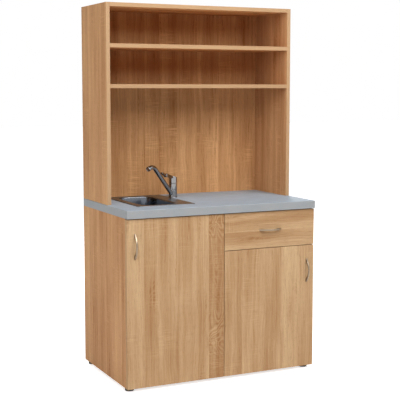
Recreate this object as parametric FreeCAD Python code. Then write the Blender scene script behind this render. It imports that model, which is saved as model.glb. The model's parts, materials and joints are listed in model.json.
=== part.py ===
import FreeCAD, Part
import math
import os
from FreeCAD import Placement, Rotation, Vector

# All lengths are in millimetres and all angles in degrees.
# +X is the unit's right, the fronts face -Y, and Z is the height above the floor.

# Cabinet boards
unit_width = 1000.0
worktop_depth = 600.0
worktop_height = 851.0
worktop_thickness = 38.0
worktop_edge_radius = 4.0
foot_height = 17.0
board = 19.0
back_board = 8.0
back_setback = 8.0
banding_radius = 0.8
rail_width = 90.0
shelf_air = 1.0
base_shelf_height = 330.0
base_shelf_setback = 30.0
outlet_cut_width = 180.0
outlet_cut_height = 170.0

# Open shelf unit that stands on the worktop
upper_depth = 348.0
niche_height = 554.0
compartment_height = 172.0

# Fronts
front_setback = 9.5
door_air = 2.0
fronts_top_air = 4.0
front_joint = 3.0
drawer_front_height = 177.0

# Bow handles
handle_length = 120.0
handle_projection = 28.0
handle_thickness = 5.6
handle_width = 8.0
handle_hole_spacing = 96.0
handle_foot = 18.0
handle_toe = 2.0
handle_rounding = 2.4
handle_edge_distance = 41.0
handle_top_distance = 66.0
handle_screw_radius = 2.0
handle_screw_grip = 7.0
screw_head_radius = 4.0
screw_head_height = 2.4

# Concealed hinges
cup_radius = 17.5
cup_depth = 11.5
cup_wall = 1.0
cup_edge_distance = 4.0
cup_rim = 1.2
cup_ear_length = 62.0
cup_ear_width = 13.0
hinge_end_distance = 100.0
hinge_plate_height = 6.0
hinge_plate_length = 40.0
hinge_plate_width = 16.0
hinge_plate_setback = 22.0
hinge_wing_length = 52.0
hinge_wing_width = 12.0
hinge_wing_height = 2.0
hinge_screw_spacing = 32.0
hinge_screw_radius = 2.5
hinge_screw_length = 8.0
hinge_arm_height = 8.0
hinge_arm_width = 13.0
hinge_arm_length = 56.0
hinge_link = 2.0
hinge_open_gap = 0.5

# Drawer and its telescopic runners
runner_rear_air = 81.5
runner_width = 12.5
runner_height = 45.0
runner_sheet = 1.2
runner_setback = 3.0
runner_web_gap = 1.2
ball_track = 3.6
ball_radius = 1.6
balls_per_row = 6
runner_screw_radius = 2.0
runner_screw_length = 10.0
drawer_side = 12.0
drawer_box_height = 120.0
drawer_box_lift = 14.0
drawer_floor = 5.0
drawer_floor_lift = 10.0
runner_lift = 45.0

# Dowels and screws
dowel_radius = 4.0
dowel_side_depth = 9.0
dowel_end_depth = 20.0
dowel_row_shares = (0.12, 0.5, 0.88)
fit_air = 0.05
shelf_pin_radius = 2.5
shelf_pin_depth = 8.0
shelf_pin_reach = 9.0
shelf_pin_setback = 40.0
top_screw_radius = 2.5
top_screw_grip = 16.0
wall_plate_width = 40.0
wall_plate_height = 60.0
wall_plate_sheet = 2.0
wall_plate_hole_radius = 3.25
wall_plate_side_distance = 80.0
wall_plate_top_distance = 12.0

# Feet
foot_radius = 21.5
foot_neck_radius = 15.0
foot_disc_height = 10.0
foot_side_distance = 28.0
foot_front_distance = 49.0
foot_rear_distance = 36.0
foot_stud_radius = 4.0
foot_stud_grip = 15.0

# Inset sink
sink_place_share = 0.68
sink_front_distance = 115.0
sink_rear_distance = 45.0
sink_width = 296.0
sink_sheet = 0.8
sink_rim_height = 3.6
sink_corner_radius = 14.0
sink_cut_inset = 10.0
bowl_left_ledge = 40.0
bowl_right_ledge = 71.0
bowl_front_ledge = 40.0
bowl_rear_ledge = 35.0
bowl_corner_radius = 52.0
bowl_depth = 140.0
bowl_taper = 12.0
bowl_floor_radius = 22.0
seal_width = 8.0
seal_air = 0.2
clip_width = 24.0
clip_sheet = 2.0
clip_length = 34.0

# Waste and bottle trap
waste_radius = 26.0
waste_flange_radius = 35.0
waste_flange_sheet = 1.5
waste_sheet = 1.5
waste_neck_length = 32.0
waste_well_depth = 12.0
waste_floor = 2.0
waste_slot_radius = 3.2
waste_slot_ring = 14.0
waste_slot_count = 6
waste_nut_radius = 33.0
waste_nut_height = 10.0
plug_radius = 22.0
plug_thickness = 3.0
plug_knob_radius = 5.0
plug_knob_height = 14.0
plug_hole_radius = 1.8
plug_ring_radii = (10.0, 16.0)
plug_ring_counts = (8, 12)
pipe_radius = 16.0
pipe_wall = 2.0
trap_inlet_length = 95.0
trap_radius = 32.0
trap_height = 110.0
trap_cup_height = 35.0
trap_wall = 3.0
trap_nut_radius = 24.0
trap_nut_height = 18.0
trap_outlet_drop = 38.0
spigot_radius = 20.0
spigot_length = 50.0

# Single lever tap
tap_side_distance = 24.0
tap_rear_distance = 160.0
tap_direction = 212.0
tap_radius = 21.5
tap_base_radius = 22.5
tap_base_height = 4.0
tap_core_radius = 16.0
tap_collar_top = 38.6
tap_joint = 1.4
tap_body_top = 71.0
tap_rounding = 1.0
tap_hole_radius = 17.5
cartridge_radius = 15.0
cartridge_height = 26.0
stem_radius = 4.0
stem_depth = 12.0
stem_top = 82.0
carrier_radius = 15.0
carrier_gap = 0.4
carrier_thickness = 2.0
lever_pin_radius = 1.5
lever_pin_half_length = 15.0
lever_pin_back = 13.5
lever_pin_height = 77.0
lever_ear_width = 8.0
lever_ear_length = 5.6
lever_ear_air = 3.0
lever_wall = 3.0
lever_lift = 20.0
lever_back_top = 99.0
lever_cavity_top = 91.0
lever_block_reach = 68.0
lever_block_top = 127.5
lever_block_bottom = 109.0
lever_root_bottom = 95.0
lever_root_half_width = 14.0
lever_block_half_width = 10.0
lever_tip_reach = 106.0
lever_tip_top = 136.0
lever_tip_bottom = 130.0
lever_tip_root = 12.0
lever_tip_root_bottom = 115.5
lever_tip_root_top = 123.0
lever_tip_half_width = 7.5
lever_rounding = 2.0
spout_radius = 11.0
spout_wall = 2.5
spout_root_reach = 16.0
spout_root_height = 23.4
spout_rise = 43.0
spout_peak_height = 165.5
spout_bend_radius = 45.0
spout_drop = 18.0
aerator_radius = 12.0
aerator_length = 10.0
aerator_bore_radius = 9.0
aerator_nipple_length = 6.0
aerator_recess = 1.5
tap_stud_radius = 4.0
tap_stud_length = 78.0
tap_stud_back = 11.0
tap_washer_radius = 26.0
tap_washer_sheet = 3.0
tap_nut_radius = 7.5
tap_nut_height = 8.0
inlet_radius = 5.0
inlet_bore_radius = 3.5
inlet_spacing = 24.0
inlet_front = 2.0
inlet_length = 110.0
union_radius = 8.3
union_length = 22.0

# One length that takes every cut past the face it starts from
overrun = 5.0
running_air = 0.3

# Places that follow from the sizes above
half_width = unit_width / 2
y_rear = (worktop_depth - front_setback + handle_projection) / 2
y_worktop = y_rear - worktop_depth
y_front = y_worktop + front_setback
y_door_in = y_front + board
y_carcass = y_door_in + door_air
y_back_in = y_rear - back_setback - back_board
y_upper = y_rear - upper_depth
x_inner = half_width - board
x_partition = board / 2
x_joint = front_joint / 2
z_carcass = foot_height
z_floor = z_carcass + board
z_worktop_under = worktop_height - worktop_thickness
z_fronts_top = z_worktop_under - fronts_top_air
z_drawer_front = z_fronts_top - drawer_front_height
z_right_door_top = z_drawer_front - front_joint
z_drawer_rail = z_drawer_front - front_joint / 2
z_drawer_box = z_drawer_rail + board / 2 + drawer_box_lift
z_runner = z_drawer_box + runner_lift
z_low_shelf = worktop_height + niche_height
z_high_shelf = z_low_shelf + board + compartment_height
z_top_board = z_high_shelf + board + compartment_height
unit_height = z_top_board + board
y_tap = y_rear - tap_rear_distance
sink_bay_spare = x_inner - x_partition - sink_width - tap_side_distance - tap_washer_radius
x_sink = sink_bay_spare * sink_place_share - x_inner
x_tap = x_sink + sink_width + tap_side_distance
y_sink = y_worktop + sink_front_distance
sink_length = worktop_depth - sink_front_distance - sink_rear_distance
bowl_width = sink_width - bowl_left_ledge - bowl_right_ledge
bowl_length = sink_length - bowl_front_ledge - bowl_rear_ledge
x_bowl = x_sink + bowl_left_ledge + bowl_width / 2
y_bowl = y_sink + bowl_front_ledge + bowl_length / 2
z_rim = worktop_height + sink_rim_height
z_bowl_floor = z_rim - bowl_depth
z_waste = z_bowl_floor - sink_sheet - waste_neck_length
z_trap = z_waste - trap_inlet_length
z_trap_outlet = z_trap - trap_outlet_drop

nodes = {}


def box(x, y, z):
    """Box between the two values given for each axis, in either order."""
    low = Vector(min(x), min(y), min(z))
    return Part.makeBox(max(x) - low.x, max(y) - low.y, max(z) - low.z, low)


def rod(radius, start, end):
    """Round bar from one point to another."""
    start, end = Vector(*start), Vector(*end)
    return Part.makeCylinder(radius, (end - start).Length, start, end - start)


def tube(radius, bore, start, end):
    """Round bar with a bore right through."""
    return rod(radius, start, end).cut(rod(bore, start, end))


def edges_in_plane(solid, axis, value):
    """Edges whose ends both lie where the given coordinate has this value."""
    return [edge for edge in solid.Edges
            if all(abs(getattr(vertex.Point, axis) - value) < fit_air for vertex in edge.Vertexes)]


def edge_banded(x, y, z):
    """Board whose front edge is banded, so that its front corners are slightly round."""
    solid = box(x, y, z)
    return solid.makeFillet(banding_radius, edges_in_plane(solid, "y", min(y)))


def front_board(x, z):
    """Door or drawer front, banded all round."""
    solid = box(x, (y_front, y_door_in), z)
    return solid.makeFillet(banding_radius, solid.Edges)


def round_plate(x, y, z, radius):
    """Flat plate with four round corners."""
    solid = box(x, y, z)
    upright = [edge for edge in solid.Edges
               if abs(edge.Vertexes[0].Point.z - edge.Vertexes[-1].Point.z) > fit_air]
    return solid.makeFillet(radius, upright)


def group(solids):
    return Part.makeCompound(solids)


def spread(low, high, shares):
    return [low + (high - low) * share for share in shares]


def widened(cylinders, air):
    """Round bars given as radius, start and end, each widened by the air around it."""
    return group([rod(radius + air, start, end) for radius, start, end in cylinders])


# Dowel joints: each dowel is a radius with a start and an end point.

def end_dowels(x_face, toward, y_low, y_high, z):
    """Dowels that run along X out of an upright board's face into a board's end."""
    start, end = x_face - toward * dowel_side_depth, x_face + toward * dowel_end_depth
    return [(dowel_radius, (start, y, z), (end, y, z)) for y in spread(y_low, y_high, dowel_row_shares)]


def standing_dowels(x, y_low, y_high, z_face):
    """Dowels that run up out of a lying board's face into an upright board's end."""
    start, end = z_face - dowel_side_depth, z_face + dowel_end_depth
    return [(dowel_radius, (x, y, start), (x, y, end)) for y in spread(y_low, y_high, dowel_row_shares)]


def rail_dowels(x_face, toward, y, z_low, z_high):
    """Two dowels one above the other in the end of a rail that stands on edge."""
    start, end = x_face - toward * dowel_side_depth, x_face + toward * dowel_end_depth
    heights = spread(z_low, z_high, (dowel_row_shares[0], dowel_row_shares[-1]))
    return [(dowel_radius, (start, y, z), (end, y, z)) for z in heights]


def base_dowels():
    bars = []
    z_bottom = z_carcass + board / 2
    z_front_rail = z_worktop_under - board / 2
    y_rear_rail = y_back_in - board / 2
    rail_y = (y_carcass, y_carcass + rail_width)
    rail_z = (z_worktop_under - rail_width, z_worktop_under)
    for side in (-1, 1):
        bars += end_dowels(side * x_inner, -side, y_carcass, y_back_in, z_bottom)
        for x_face, toward in ((side * x_inner, -side), (side * x_partition, side)):
            bars += rail_dowels(x_face, toward, y_rear_rail, *rail_z)
            bars += end_dowels(x_face, toward, *rail_y, z_front_rail)
    bars += end_dowels(x_inner, -1, *rail_y, z_drawer_rail)
    bars += end_dowels(x_partition, 1, *rail_y, z_drawer_rail)
    bars += standing_dowels(0, y_carcass, y_back_in, z_floor)
    return bars


def upper_dowels():
    bars = []
    for side in (-1, 1):
        for z in (z_low_shelf, z_high_shelf, z_top_board):
            bars += end_dowels(side * x_inner, -side, y_upper, y_back_in, z + board / 2)
        bars += standing_dowels(side * (half_width - board / 2), y_upper, y_rear, worktop_height)
    return bars


def top_screws():
    """Screws that hold the worktop down, up through the front rails."""
    y = y_carcass + rail_width / 2
    start, end = z_worktop_under - board, z_worktop_under + top_screw_grip
    middle = (x_partition + x_inner) / 2
    places = [side * middle + shift * rail_width for side in (-1, 1) for shift in (-1, 1)]
    return [(top_screw_radius, (x, y, start), (x, y, end)) for x in places]


def build_base():
    dowels = widened(base_dowels(), fit_air)
    screws = widened(top_screws(), fit_air)
    side_y, inner_y, height = (y_carcass, y_rear), (y_carcass, y_back_in), (z_carcass, z_worktop_under)
    for name, side in (("base_left_side", -1), ("base_right_side", 1)):
        wall = edge_banded((side * x_inner, side * half_width), side_y, height)
        nodes[name] = wall.cut(dowels)
    nodes["base_bottom"] = edge_banded((-x_inner, x_inner), inner_y, (z_carcass, z_floor)).cut(dowels)
    partition = edge_banded((-x_partition, x_partition), inner_y, (z_floor, z_worktop_under))
    nodes["base_partition"] = partition.cut(dowels)
    back = box((-x_inner, x_inner), (y_back_in, y_back_in + back_board), height)
    outlet = box((x_bowl - outlet_cut_width / 2, x_bowl + outlet_cut_width / 2), (y_carcass, y_rear),
                 (z_trap_outlet - outlet_cut_height / 2, z_trap_outlet + outlet_cut_height / 2))
    nodes["base_back"] = back.cut(outlet)
    rail_y, rail_z = (y_carcass, y_carcass + rail_width), (z_worktop_under - board, z_worktop_under)
    bays = [(side * x_partition, side * x_inner) for side in (-1, 1)]
    front_rails = [edge_banded(bay, rail_y, rail_z).cut(dowels).cut(screws) for bay in bays]
    rear_z = (z_worktop_under - rail_width, z_worktop_under)
    rear_rails = [box(bay, (y_back_in - board, y_back_in), rear_z).cut(dowels) for bay in bays]
    nodes["top_rails"] = group(front_rails + rear_rails)
    middle_z = (z_drawer_rail - board / 2, z_drawer_rail + board / 2)
    nodes["drawer_rail"] = edge_banded(bays[1], rail_y, middle_z).cut(dowels)
    drill_hinge_holes()
    build_shelf()


def build_shelf():
    """Loose shelf in the right cupboard, on four pins."""
    x = (x_partition + shelf_air, x_inner - shelf_air)
    y = (y_carcass + base_shelf_setback, y_back_in - shelf_air)
    nodes["base_shelf"] = edge_banded(x, y, (base_shelf_height, base_shelf_height + board))
    z = base_shelf_height - shelf_pin_radius
    pins, holes = [], []
    for x_face, toward in ((x_partition, 1), (x_inner, -1)):
        for y_pin in (y[0] + shelf_pin_setback, y[1] - shelf_pin_setback):
            start = (x_face - toward * shelf_pin_depth, y_pin, z)
            end = (x_face + toward * shelf_pin_reach, y_pin, z)
            pins.append(rod(shelf_pin_radius, start, end))
            holes.append(rod(shelf_pin_radius + fit_air, start, end))
    nodes["shelf_pins"] = group(pins)
    for name in ("base_partition", "base_right_side"):
        nodes[name] = nodes[name].cut(group(holes))


def build_upper_unit():
    dowels = widened(upper_dowels(), fit_air)
    for name, side in (("upper_left_side", -1), ("upper_right_side", 1)):
        x = (side * x_inner, side * half_width)
        nodes[name] = edge_banded(x, (y_upper, y_rear), (worktop_height, unit_height)).cut(dowels)
    for name, z in (("low_shelf", z_low_shelf), ("high_shelf", z_high_shelf), ("top_board", z_top_board)):
        nodes[name] = edge_banded((-x_inner, x_inner), (y_upper, y_back_in), (z, z + board)).cut(dowels)
    height = (worktop_height, unit_height)
    nodes["upper_back"] = box((-x_inner, x_inner), (y_back_in, y_back_in + back_board), height)
    nodes["wall_plates"] = group([wall_plate(side) for side in (-1, 1)])


def wall_plate(side):
    """Steel plate behind the top of the back board, for a screw into the wall."""
    x = side * (x_inner - wall_plate_side_distance)
    y = y_back_in + back_board
    z = unit_height - wall_plate_top_distance
    plate = box((x - wall_plate_width / 2, x + wall_plate_width / 2), (y, y + wall_plate_sheet),
                (z - wall_plate_height, z))
    hole_z = z - wall_plate_height / 2
    return plate.cut(rod(wall_plate_hole_radius, (x, y - overrun, hole_z), (x, y_rear + overrun, hole_z)))


def sink_cut(inset, z):
    """Round-cornered block inside the sink's outline."""
    return round_plate((x_sink + inset, x_sink + sink_width - inset),
                       (y_sink + inset, y_sink + sink_length - inset), z, sink_corner_radius)


def build_worktop():
    top = box((-half_width, half_width), (y_worktop, y_rear), (z_worktop_under, worktop_height))
    upper_edges = edges_in_plane(top, "z", worktop_height)
    shown = [edge for edge in upper_edges if edge.CenterOfMass.y < y_rear - fit_air]
    top = top.makeFillet(worktop_edge_radius, shown)
    top = top.cut(sink_cut(sink_cut_inset, (z_worktop_under - overrun, worktop_height + overrun)))
    low, high = z_worktop_under - overrun, worktop_height + overrun
    top = top.cut(rod(tap_hole_radius, (x_tap, y_tap, low), (x_tap, y_tap, high)))
    standing = widened(upper_dowels(), fit_air)
    nodes["worktop"] = top.cut(standing).cut(widened(top_screws(), fit_air))
    nodes["dowels"] = group([rod(*bar) for bar in base_dowels() + upper_dowels()])


def build_feet():
    places = [(side * (half_width - foot_side_distance), y)
              for side in (-1, 1) for y in (y_front + foot_front_distance, y_rear - foot_rear_distance)]
    feet, studs = [], []
    for x, y in places:
        disc = rod(foot_radius, (x, y, 0), (x, y, foot_disc_height))
        neck = rod(foot_neck_radius, (x, y, 0), (x, y, foot_height))
        stud = rod(foot_stud_radius, (x, y, foot_disc_height), (x, y, foot_height + foot_stud_grip))
        bore = rod(foot_stud_radius + fit_air, (x, y, foot_disc_height), (x, y, foot_height + foot_stud_grip))
        feet.append(disc.fuse(neck).removeSplitter().cut(bore))
        studs.append(stud)
        nodes["base_bottom"] = nodes["base_bottom"].cut(bore)
    nodes["feet"] = group(feet)
    nodes["foot_studs"] = group(studs)


# Handles are drawn along X at the origin, standing out towards -Y, and then placed.

def handle_bow():
    half, inner = handle_length / 2, handle_length / 2 - handle_foot
    crown, hollow = -handle_projection, handle_thickness - handle_projection
    corners = [Vector(half, -handle_toe, 0), Vector(half, 0, 0), Vector(inner, 0, 0),
               Vector(-inner, 0, 0), Vector(-half, 0, 0), Vector(-half, -handle_toe, 0)]
    edges = [Part.Arc(corners[5], Vector(0, crown, 0), corners[0]).toShape(),
             Part.LineSegment(corners[0], corners[1]).toShape(),
             Part.LineSegment(corners[1], corners[2]).toShape(),
             Part.Arc(corners[2], Vector(0, hollow, 0), corners[3]).toShape(),
             Part.LineSegment(corners[3], corners[4]).toShape(),
             Part.LineSegment(corners[4], corners[5]).toShape()]
    bow = Part.Face(Part.Wire(edges)).extrude(Vector(0, 0, handle_width))
    bow.translate(Vector(0, 0, -handle_width / 2))
    arcs = [edge for edge in bow.Edges if edge.Length > handle_foot + handle_toe]
    bow = bow.makeFillet(handle_rounding, arcs)
    return bow.cut(group([handle_screw_hole(x) for x in (-handle_hole_spacing / 2, handle_hole_spacing / 2)]))


def handle_screw_hole(x):
    radius = handle_screw_radius + fit_air
    return rod(radius, (x, overrun, 0), (x, -handle_screw_grip, 0))


def handle_screw(x):
    shank = rod(handle_screw_radius, (x, board, 0), (x, -handle_screw_grip, 0))
    head = rod(screw_head_radius, (x, board, 0), (x, board + screw_head_height, 0))
    return shank.fuse(head).removeSplitter()


def placed(shape, x, z, upright):
    """Moves a handle piece to its place on a front, turned upright for a door."""
    turn = Rotation(Vector(0, 1, 0), 90 if upright else 0)
    moved = shape.copy()
    moved.Placement = Placement(Vector(x, y_front, z), turn).multiply(shape.Placement)
    return moved


def fit_handle(front, owner, x, z, upright):
    ends = (-handle_hole_spacing / 2, handle_hole_spacing / 2)
    nodes[owner + "_handle"] = placed(handle_bow(), x, z, upright)
    nodes[owner + "_handle_screws"] = placed(group([handle_screw(end) for end in ends]), x, z, upright)
    through = group([rod(handle_screw_radius + fit_air, (end, -overrun, 0), (end, board + overrun, 0))
                     for end in ends])
    return front.cut(placed(through, x, z, upright))


def hinge_heights(z_top):
    return (z_carcass + hinge_end_distance, z_top - hinge_end_distance)


def hinge_cup(side, z):
    """Cup let into the door's inner face, with its ears and the folded links in it."""
    x = side * (x_joint + cup_edge_distance + cup_radius)
    y_bed, y_rim = y_door_in - cup_depth, y_door_in + cup_rim
    shell = rod(cup_radius - fit_air, (x, y_bed, z), (x, y_rim, z))
    rim = rod(cup_radius + cup_wall, (x, y_door_in, z), (x, y_rim, z))
    ears = box((x - cup_ear_width / 2, x + cup_ear_width / 2), (y_door_in, y_rim),
               (z - cup_ear_length / 2, z + cup_ear_length / 2))
    hollow = rod(cup_radius - cup_wall, (x, y_bed + cup_wall, z), (x, y_rim + overrun, z))
    cup = shell.fuse(rim).fuse(ears).removeSplitter().cut(hollow)
    x_arm = x_partition + hinge_plate_height
    links = []
    for x_link in (x_arm, x_arm + hinge_arm_height - hinge_link):
        links.append(box((side * x_link, side * (x_link + hinge_link)), (y_bed + cup_wall, y_rim),
                         (z - hinge_arm_width / 2 + hinge_link, z + hinge_arm_width / 2 - hinge_link)))
    return [cup] + links


def hinge_arm(side, z):
    x = x_partition + hinge_plate_height
    arm = box((side * x, side * (x + hinge_arm_height)),
              (y_door_in + cup_rim + hinge_open_gap, y_carcass + hinge_arm_length),
              (z - hinge_arm_width / 2, z + hinge_arm_width / 2))
    return arm.makeFillet(hinge_link, edges_in_plane(arm, "x", side * (x + hinge_arm_height)))


def hinge_plate(side, z):
    x, y = x_partition, y_carcass + hinge_plate_setback
    y_middle = y + hinge_plate_length / 2
    plate = box((side * x, side * (x + hinge_plate_height)), (y, y + hinge_plate_length),
                (z - hinge_plate_width / 2, z + hinge_plate_width / 2))
    wings = box((side * x, side * (x + hinge_wing_height)),
                (y_middle - hinge_wing_width / 2, y_middle + hinge_wing_width / 2),
                (z - hinge_wing_length / 2, z + hinge_wing_length / 2))
    return plate.fuse(wings).removeSplitter().cut(widened(hinge_screw_bars(side, z), fit_air))


def hinge_screw_bars(side, z):
    y = y_carcass + hinge_plate_setback + hinge_plate_length / 2
    start, end = x_partition + hinge_wing_height, x_partition - hinge_screw_length
    return [(hinge_screw_radius, (side * start, y, z + end_z), (side * end, y, z + end_z))
            for end_z in (-hinge_screw_spacing / 2, hinge_screw_spacing / 2)]


def all_hinges():
    return [(-1, z) for z in hinge_heights(z_fronts_top)] + [(1, z) for z in hinge_heights(z_right_door_top)]


def drill_hinge_holes():
    bars = [bar for side, z in all_hinges() for bar in hinge_screw_bars(side, z)]
    nodes["base_partition"] = nodes["base_partition"].cut(widened(bars, fit_air))


def build_doors():
    doors = (("left_door", -1, z_fronts_top), ("right_door", 1, z_right_door_top))
    for name, side, z_top in doors:
        door = front_board((side * x_joint, side * half_width), (z_carcass, z_top))
        x_handle = side * (half_width - handle_edge_distance)
        z_handle = z_top - handle_top_distance - handle_length / 2
        door = fit_handle(door, name, x_handle, z_handle, True)
        x_cup = side * (x_joint + cup_edge_distance + cup_radius)
        for z in hinge_heights(z_top):
            seat = rod(cup_radius, (x_cup, y_door_in - cup_depth, z), (x_cup, y_door_in + overrun, z))
            door = door.cut(seat)
        nodes[name] = door
        cups = [piece for z in hinge_heights(z_top) for piece in hinge_cup(side, z)]
        nodes[name + "_hinge_cups"] = group(cups)
    arms = [piece(side, z) for piece in (hinge_arm, hinge_plate) for side, z in all_hinges()]
    nodes["hinge_arms"] = group(arms)


# Runner profiles are measured from the bay's wall towards the drawer.

runner_walls = ((x_partition, 1), (x_inner, -1))
half_fixed = runner_height / 2
half_middle = half_fixed - runner_sheet - ball_track
half_moving = half_middle - runner_sheet - ball_track
y_runner = y_carcass + runner_setback
runner_length = y_back_in - board - runner_rear_air - y_runner


def runner_box(wall, near, far, half_height):
    x_wall, toward = wall
    return box((x_wall + toward * near, x_wall + toward * far), (y_runner, y_runner + runner_length),
               (z_runner - half_height, z_runner + half_height))


def fixed_member(wall):
    solid = runner_box(wall, 0, runner_width - runner_sheet, half_fixed)
    return solid.cut(runner_box(wall, runner_sheet, runner_width, half_fixed - runner_sheet))


def middle_member(wall):
    near = runner_sheet + runner_web_gap
    solid = runner_box(wall, near, runner_width - 2 * runner_sheet, half_middle)
    return solid.cut(runner_box(wall, near + runner_sheet, runner_width, half_middle - runner_sheet))


def moving_member(wall):
    near = 2 * runner_sheet + 2 * runner_web_gap
    solid = runner_box(wall, near, runner_width, half_moving)
    return solid.cut(runner_box(wall, 0, runner_width - runner_sheet, half_moving - runner_sheet))


def runner_balls(wall):
    x_wall, toward = wall
    x = x_wall + toward * runner_width / 2
    rows = [z_runner + way * (half + ball_track / 2)
            for way in (-1, 1) for half in (half_middle, half_moving)]
    step = runner_length / balls_per_row
    places = [Vector(x, y_runner + step * (count + 1 / 2), z) for z in rows for count in range(balls_per_row)]
    return [Part.makeSphere(ball_radius, place) for place in places]


def runner_screw_bars(wall):
    x_wall, toward = wall
    places = [y_runner + runner_length * share for share in dowel_row_shares]
    return [(runner_screw_radius, (x_wall + toward * runner_sheet, y, z_runner),
             (x_wall - toward * runner_screw_length, y, z_runner)) for y in places]


def build_runners():
    bars = [bar for wall in runner_walls for bar in runner_screw_bars(wall)]
    holes = widened(bars, fit_air)
    nodes["runner_fixed_members"] = group([fixed_member(wall).cut(holes) for wall in runner_walls])
    middles = [middle_member(wall) for wall in runner_walls]
    balls = [ball for wall in runner_walls for ball in runner_balls(wall)]
    nodes["runner_middle_members"] = group(middles + balls)
    nodes["runner_drawer_members"] = group([moving_member(wall) for wall in runner_walls])
    for name in ("base_partition", "base_right_side"):
        nodes[name] = nodes[name].cut(holes)
    bars += [bar for side, z in all_hinges() for bar in hinge_screw_bars(side, z)] + top_screws()
    nodes["cabinet_screws"] = group([rod(*bar) for bar in bars])


def build_drawer():
    x_low, x_high = x_partition + runner_width, x_inner - runner_width
    y = (y_door_in, y_runner + runner_length)
    z = (z_drawer_box, z_drawer_box + drawer_box_height)
    nodes["drawer_left_side"] = box((x_low, x_low + drawer_side), y, z)
    nodes["drawer_right_side"] = box((x_high - drawer_side, x_high), y, z)
    inner = (x_low + drawer_side, x_high - drawer_side)
    nodes["drawer_back"] = box(inner, (y[1] - drawer_side, y[1]), z)
    floor_z = z_drawer_box + drawer_floor_lift
    nodes["drawer_floor"] = box(inner, (y_door_in, y[1] - drawer_side), (floor_z, floor_z + drawer_floor))
    front = front_board((x_joint, half_width), (z_drawer_front, z_fronts_top))
    middle = (z_drawer_front + z_fronts_top) / 2
    nodes["drawer_front"] = fit_handle(front, "drawer", (x_joint + half_width) / 2, middle, False)


# The sink is one drawn sheet: a rim with a turned-down edge, and a tapered bowl.

def bowl_block(grow, top, bottom, floor_radius):
    """Solid of the bowl's shape between two heights, grown outwards by a margin."""
    outlines = []
    depth_share = (z_rim - bottom) / bowl_depth
    for z, inset in ((top, (z_rim - top) / bowl_depth * bowl_taper), (bottom, depth_share * bowl_taper)):
        half_x, half_y = bowl_width / 2 - inset + grow, bowl_length / 2 - inset + grow
        outlines.append(round_outline(half_x, half_y, bowl_corner_radius - inset + grow, z))
    block = Part.makeLoft(outlines, True, True)
    return block.makeFillet(floor_radius, edges_in_plane(block, "z", bottom))


def round_outline(half_x, half_y, radius, z):
    """Round-cornered rectangle around the bowl's axis at one height."""
    plate = round_plate((x_bowl - half_x, x_bowl + half_x), (y_bowl - half_y, y_bowl + half_y),
                        (z, z + overrun), radius)
    low_faces = [face for face in plate.Faces if abs(face.CenterOfMass.z - z) < fit_air]
    return low_faces[0].OuterWire


def build_sink():
    plate = sink_cut(0, (worktop_height, z_rim))
    plate = plate.makeFillet(sink_rim_height / 2, edges_in_plane(plate, "z", z_rim))
    under = sink_cut(sink_sheet, (worktop_height - overrun, z_rim - sink_sheet))
    outside = bowl_block(sink_sheet, z_rim - sink_sheet / 2, z_bowl_floor - sink_sheet,
                         bowl_floor_radius + sink_sheet)
    inside = bowl_block(0, z_rim + overrun, z_bowl_floor, bowl_floor_radius)
    shell = plate.cut(under).fuse(outside).cut(inside)
    low, high = z_bowl_floor - overrun, z_bowl_floor + overrun
    hole = rod(waste_radius, (x_bowl, y_bowl, low), (x_bowl, y_bowl, high))
    nodes["sink"] = shell.cut(hole).removeSplitter()
    nodes["sink_seal"] = sink_seal()
    nodes["sink_clips"] = group(sink_clips())


def sink_seal():
    """Foam strip between the rim and the worktop, around the cut-out."""
    outer = sink_sheet + seal_air
    z = (worktop_height, z_rim - sink_sheet)
    return sink_cut(outer, z).cut(sink_cut(outer + seal_width, (z[0] - overrun, z[1] + overrun)))


def sink_clips():
    """Sheet clips that hook under the rim inside the cut-out and bear on the worktop's underside."""
    clips = []
    for side in (-1, 1):
        x_edge = x_sink + sink_width / 2 + side * (sink_width / 2 - sink_cut_inset)
        for share in (dowel_row_shares[0], dowel_row_shares[-1]):
            y = y_sink + sink_length * share
            width = (y - clip_width / 2, y + clip_width / 2)
            x_leg = x_edge - side * clip_sheet
            leg = box((x_edge, x_leg), width, (z_worktop_under - clip_sheet, z_rim - sink_sheet))
            foot = box((x_leg, x_edge + side * clip_length / 2), width,
                       (z_worktop_under - clip_sheet, z_worktop_under))
            clips.append(leg.fuse(foot).removeSplitter())
    return clips


def build_waste():
    centre = (x_bowl, y_bowl)
    z_flange = z_bowl_floor + waste_flange_sheet
    z_well = z_flange - waste_well_depth
    neck_radius = waste_radius - fit_air
    flange = rod(waste_flange_radius, (*centre, z_bowl_floor), (*centre, z_flange))
    neck = rod(neck_radius, (*centre, z_waste), (*centre, z_bowl_floor))
    body = flange.fuse(neck).removeSplitter()
    bore = neck_radius - waste_sheet
    body = body.cut(rod(bore, (*centre, z_well), (*centre, z_flange + overrun)))
    body = body.cut(rod(pipe_radius, (*centre, z_waste - overrun), (*centre, z_well - waste_floor)))
    slots = []
    for count in range(waste_slot_count):
        angle = math.radians(360 / waste_slot_count * count)
        x, y = x_bowl + waste_slot_ring / 2 * math.cos(angle), y_bowl + waste_slot_ring / 2 * math.sin(angle)
        slots.append(rod(waste_slot_radius, (x, y, z_waste), (x, y, z_flange)))
    nodes["waste_flange"] = body.cut(group(slots))
    nodes["strainer_plug"] = strainer_plug(z_well)


def strainer_plug(z_seat):
    """Perforated plug that lies in the waste's well and lifts out by its knob."""
    centre = (x_bowl, y_bowl)
    z_disc = z_seat + plug_thickness
    disc = rod(plug_radius, (*centre, z_seat), (*centre, z_disc))
    knob = rod(plug_knob_radius, (*centre, z_disc), (*centre, z_seat + plug_knob_height))
    holes = []
    for ring, count in zip(plug_ring_radii, plug_ring_counts):
        for turn in range(count):
            angle = math.radians(360 / count * turn)
            x, y = x_bowl + ring * math.cos(angle), y_bowl + ring * math.sin(angle)
            holes.append(rod(plug_hole_radius, (x, y, z_seat - overrun), (x, y, z_disc + overrun)))
    return disc.fuse(knob).removeSplitter().cut(group(holes))


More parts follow.
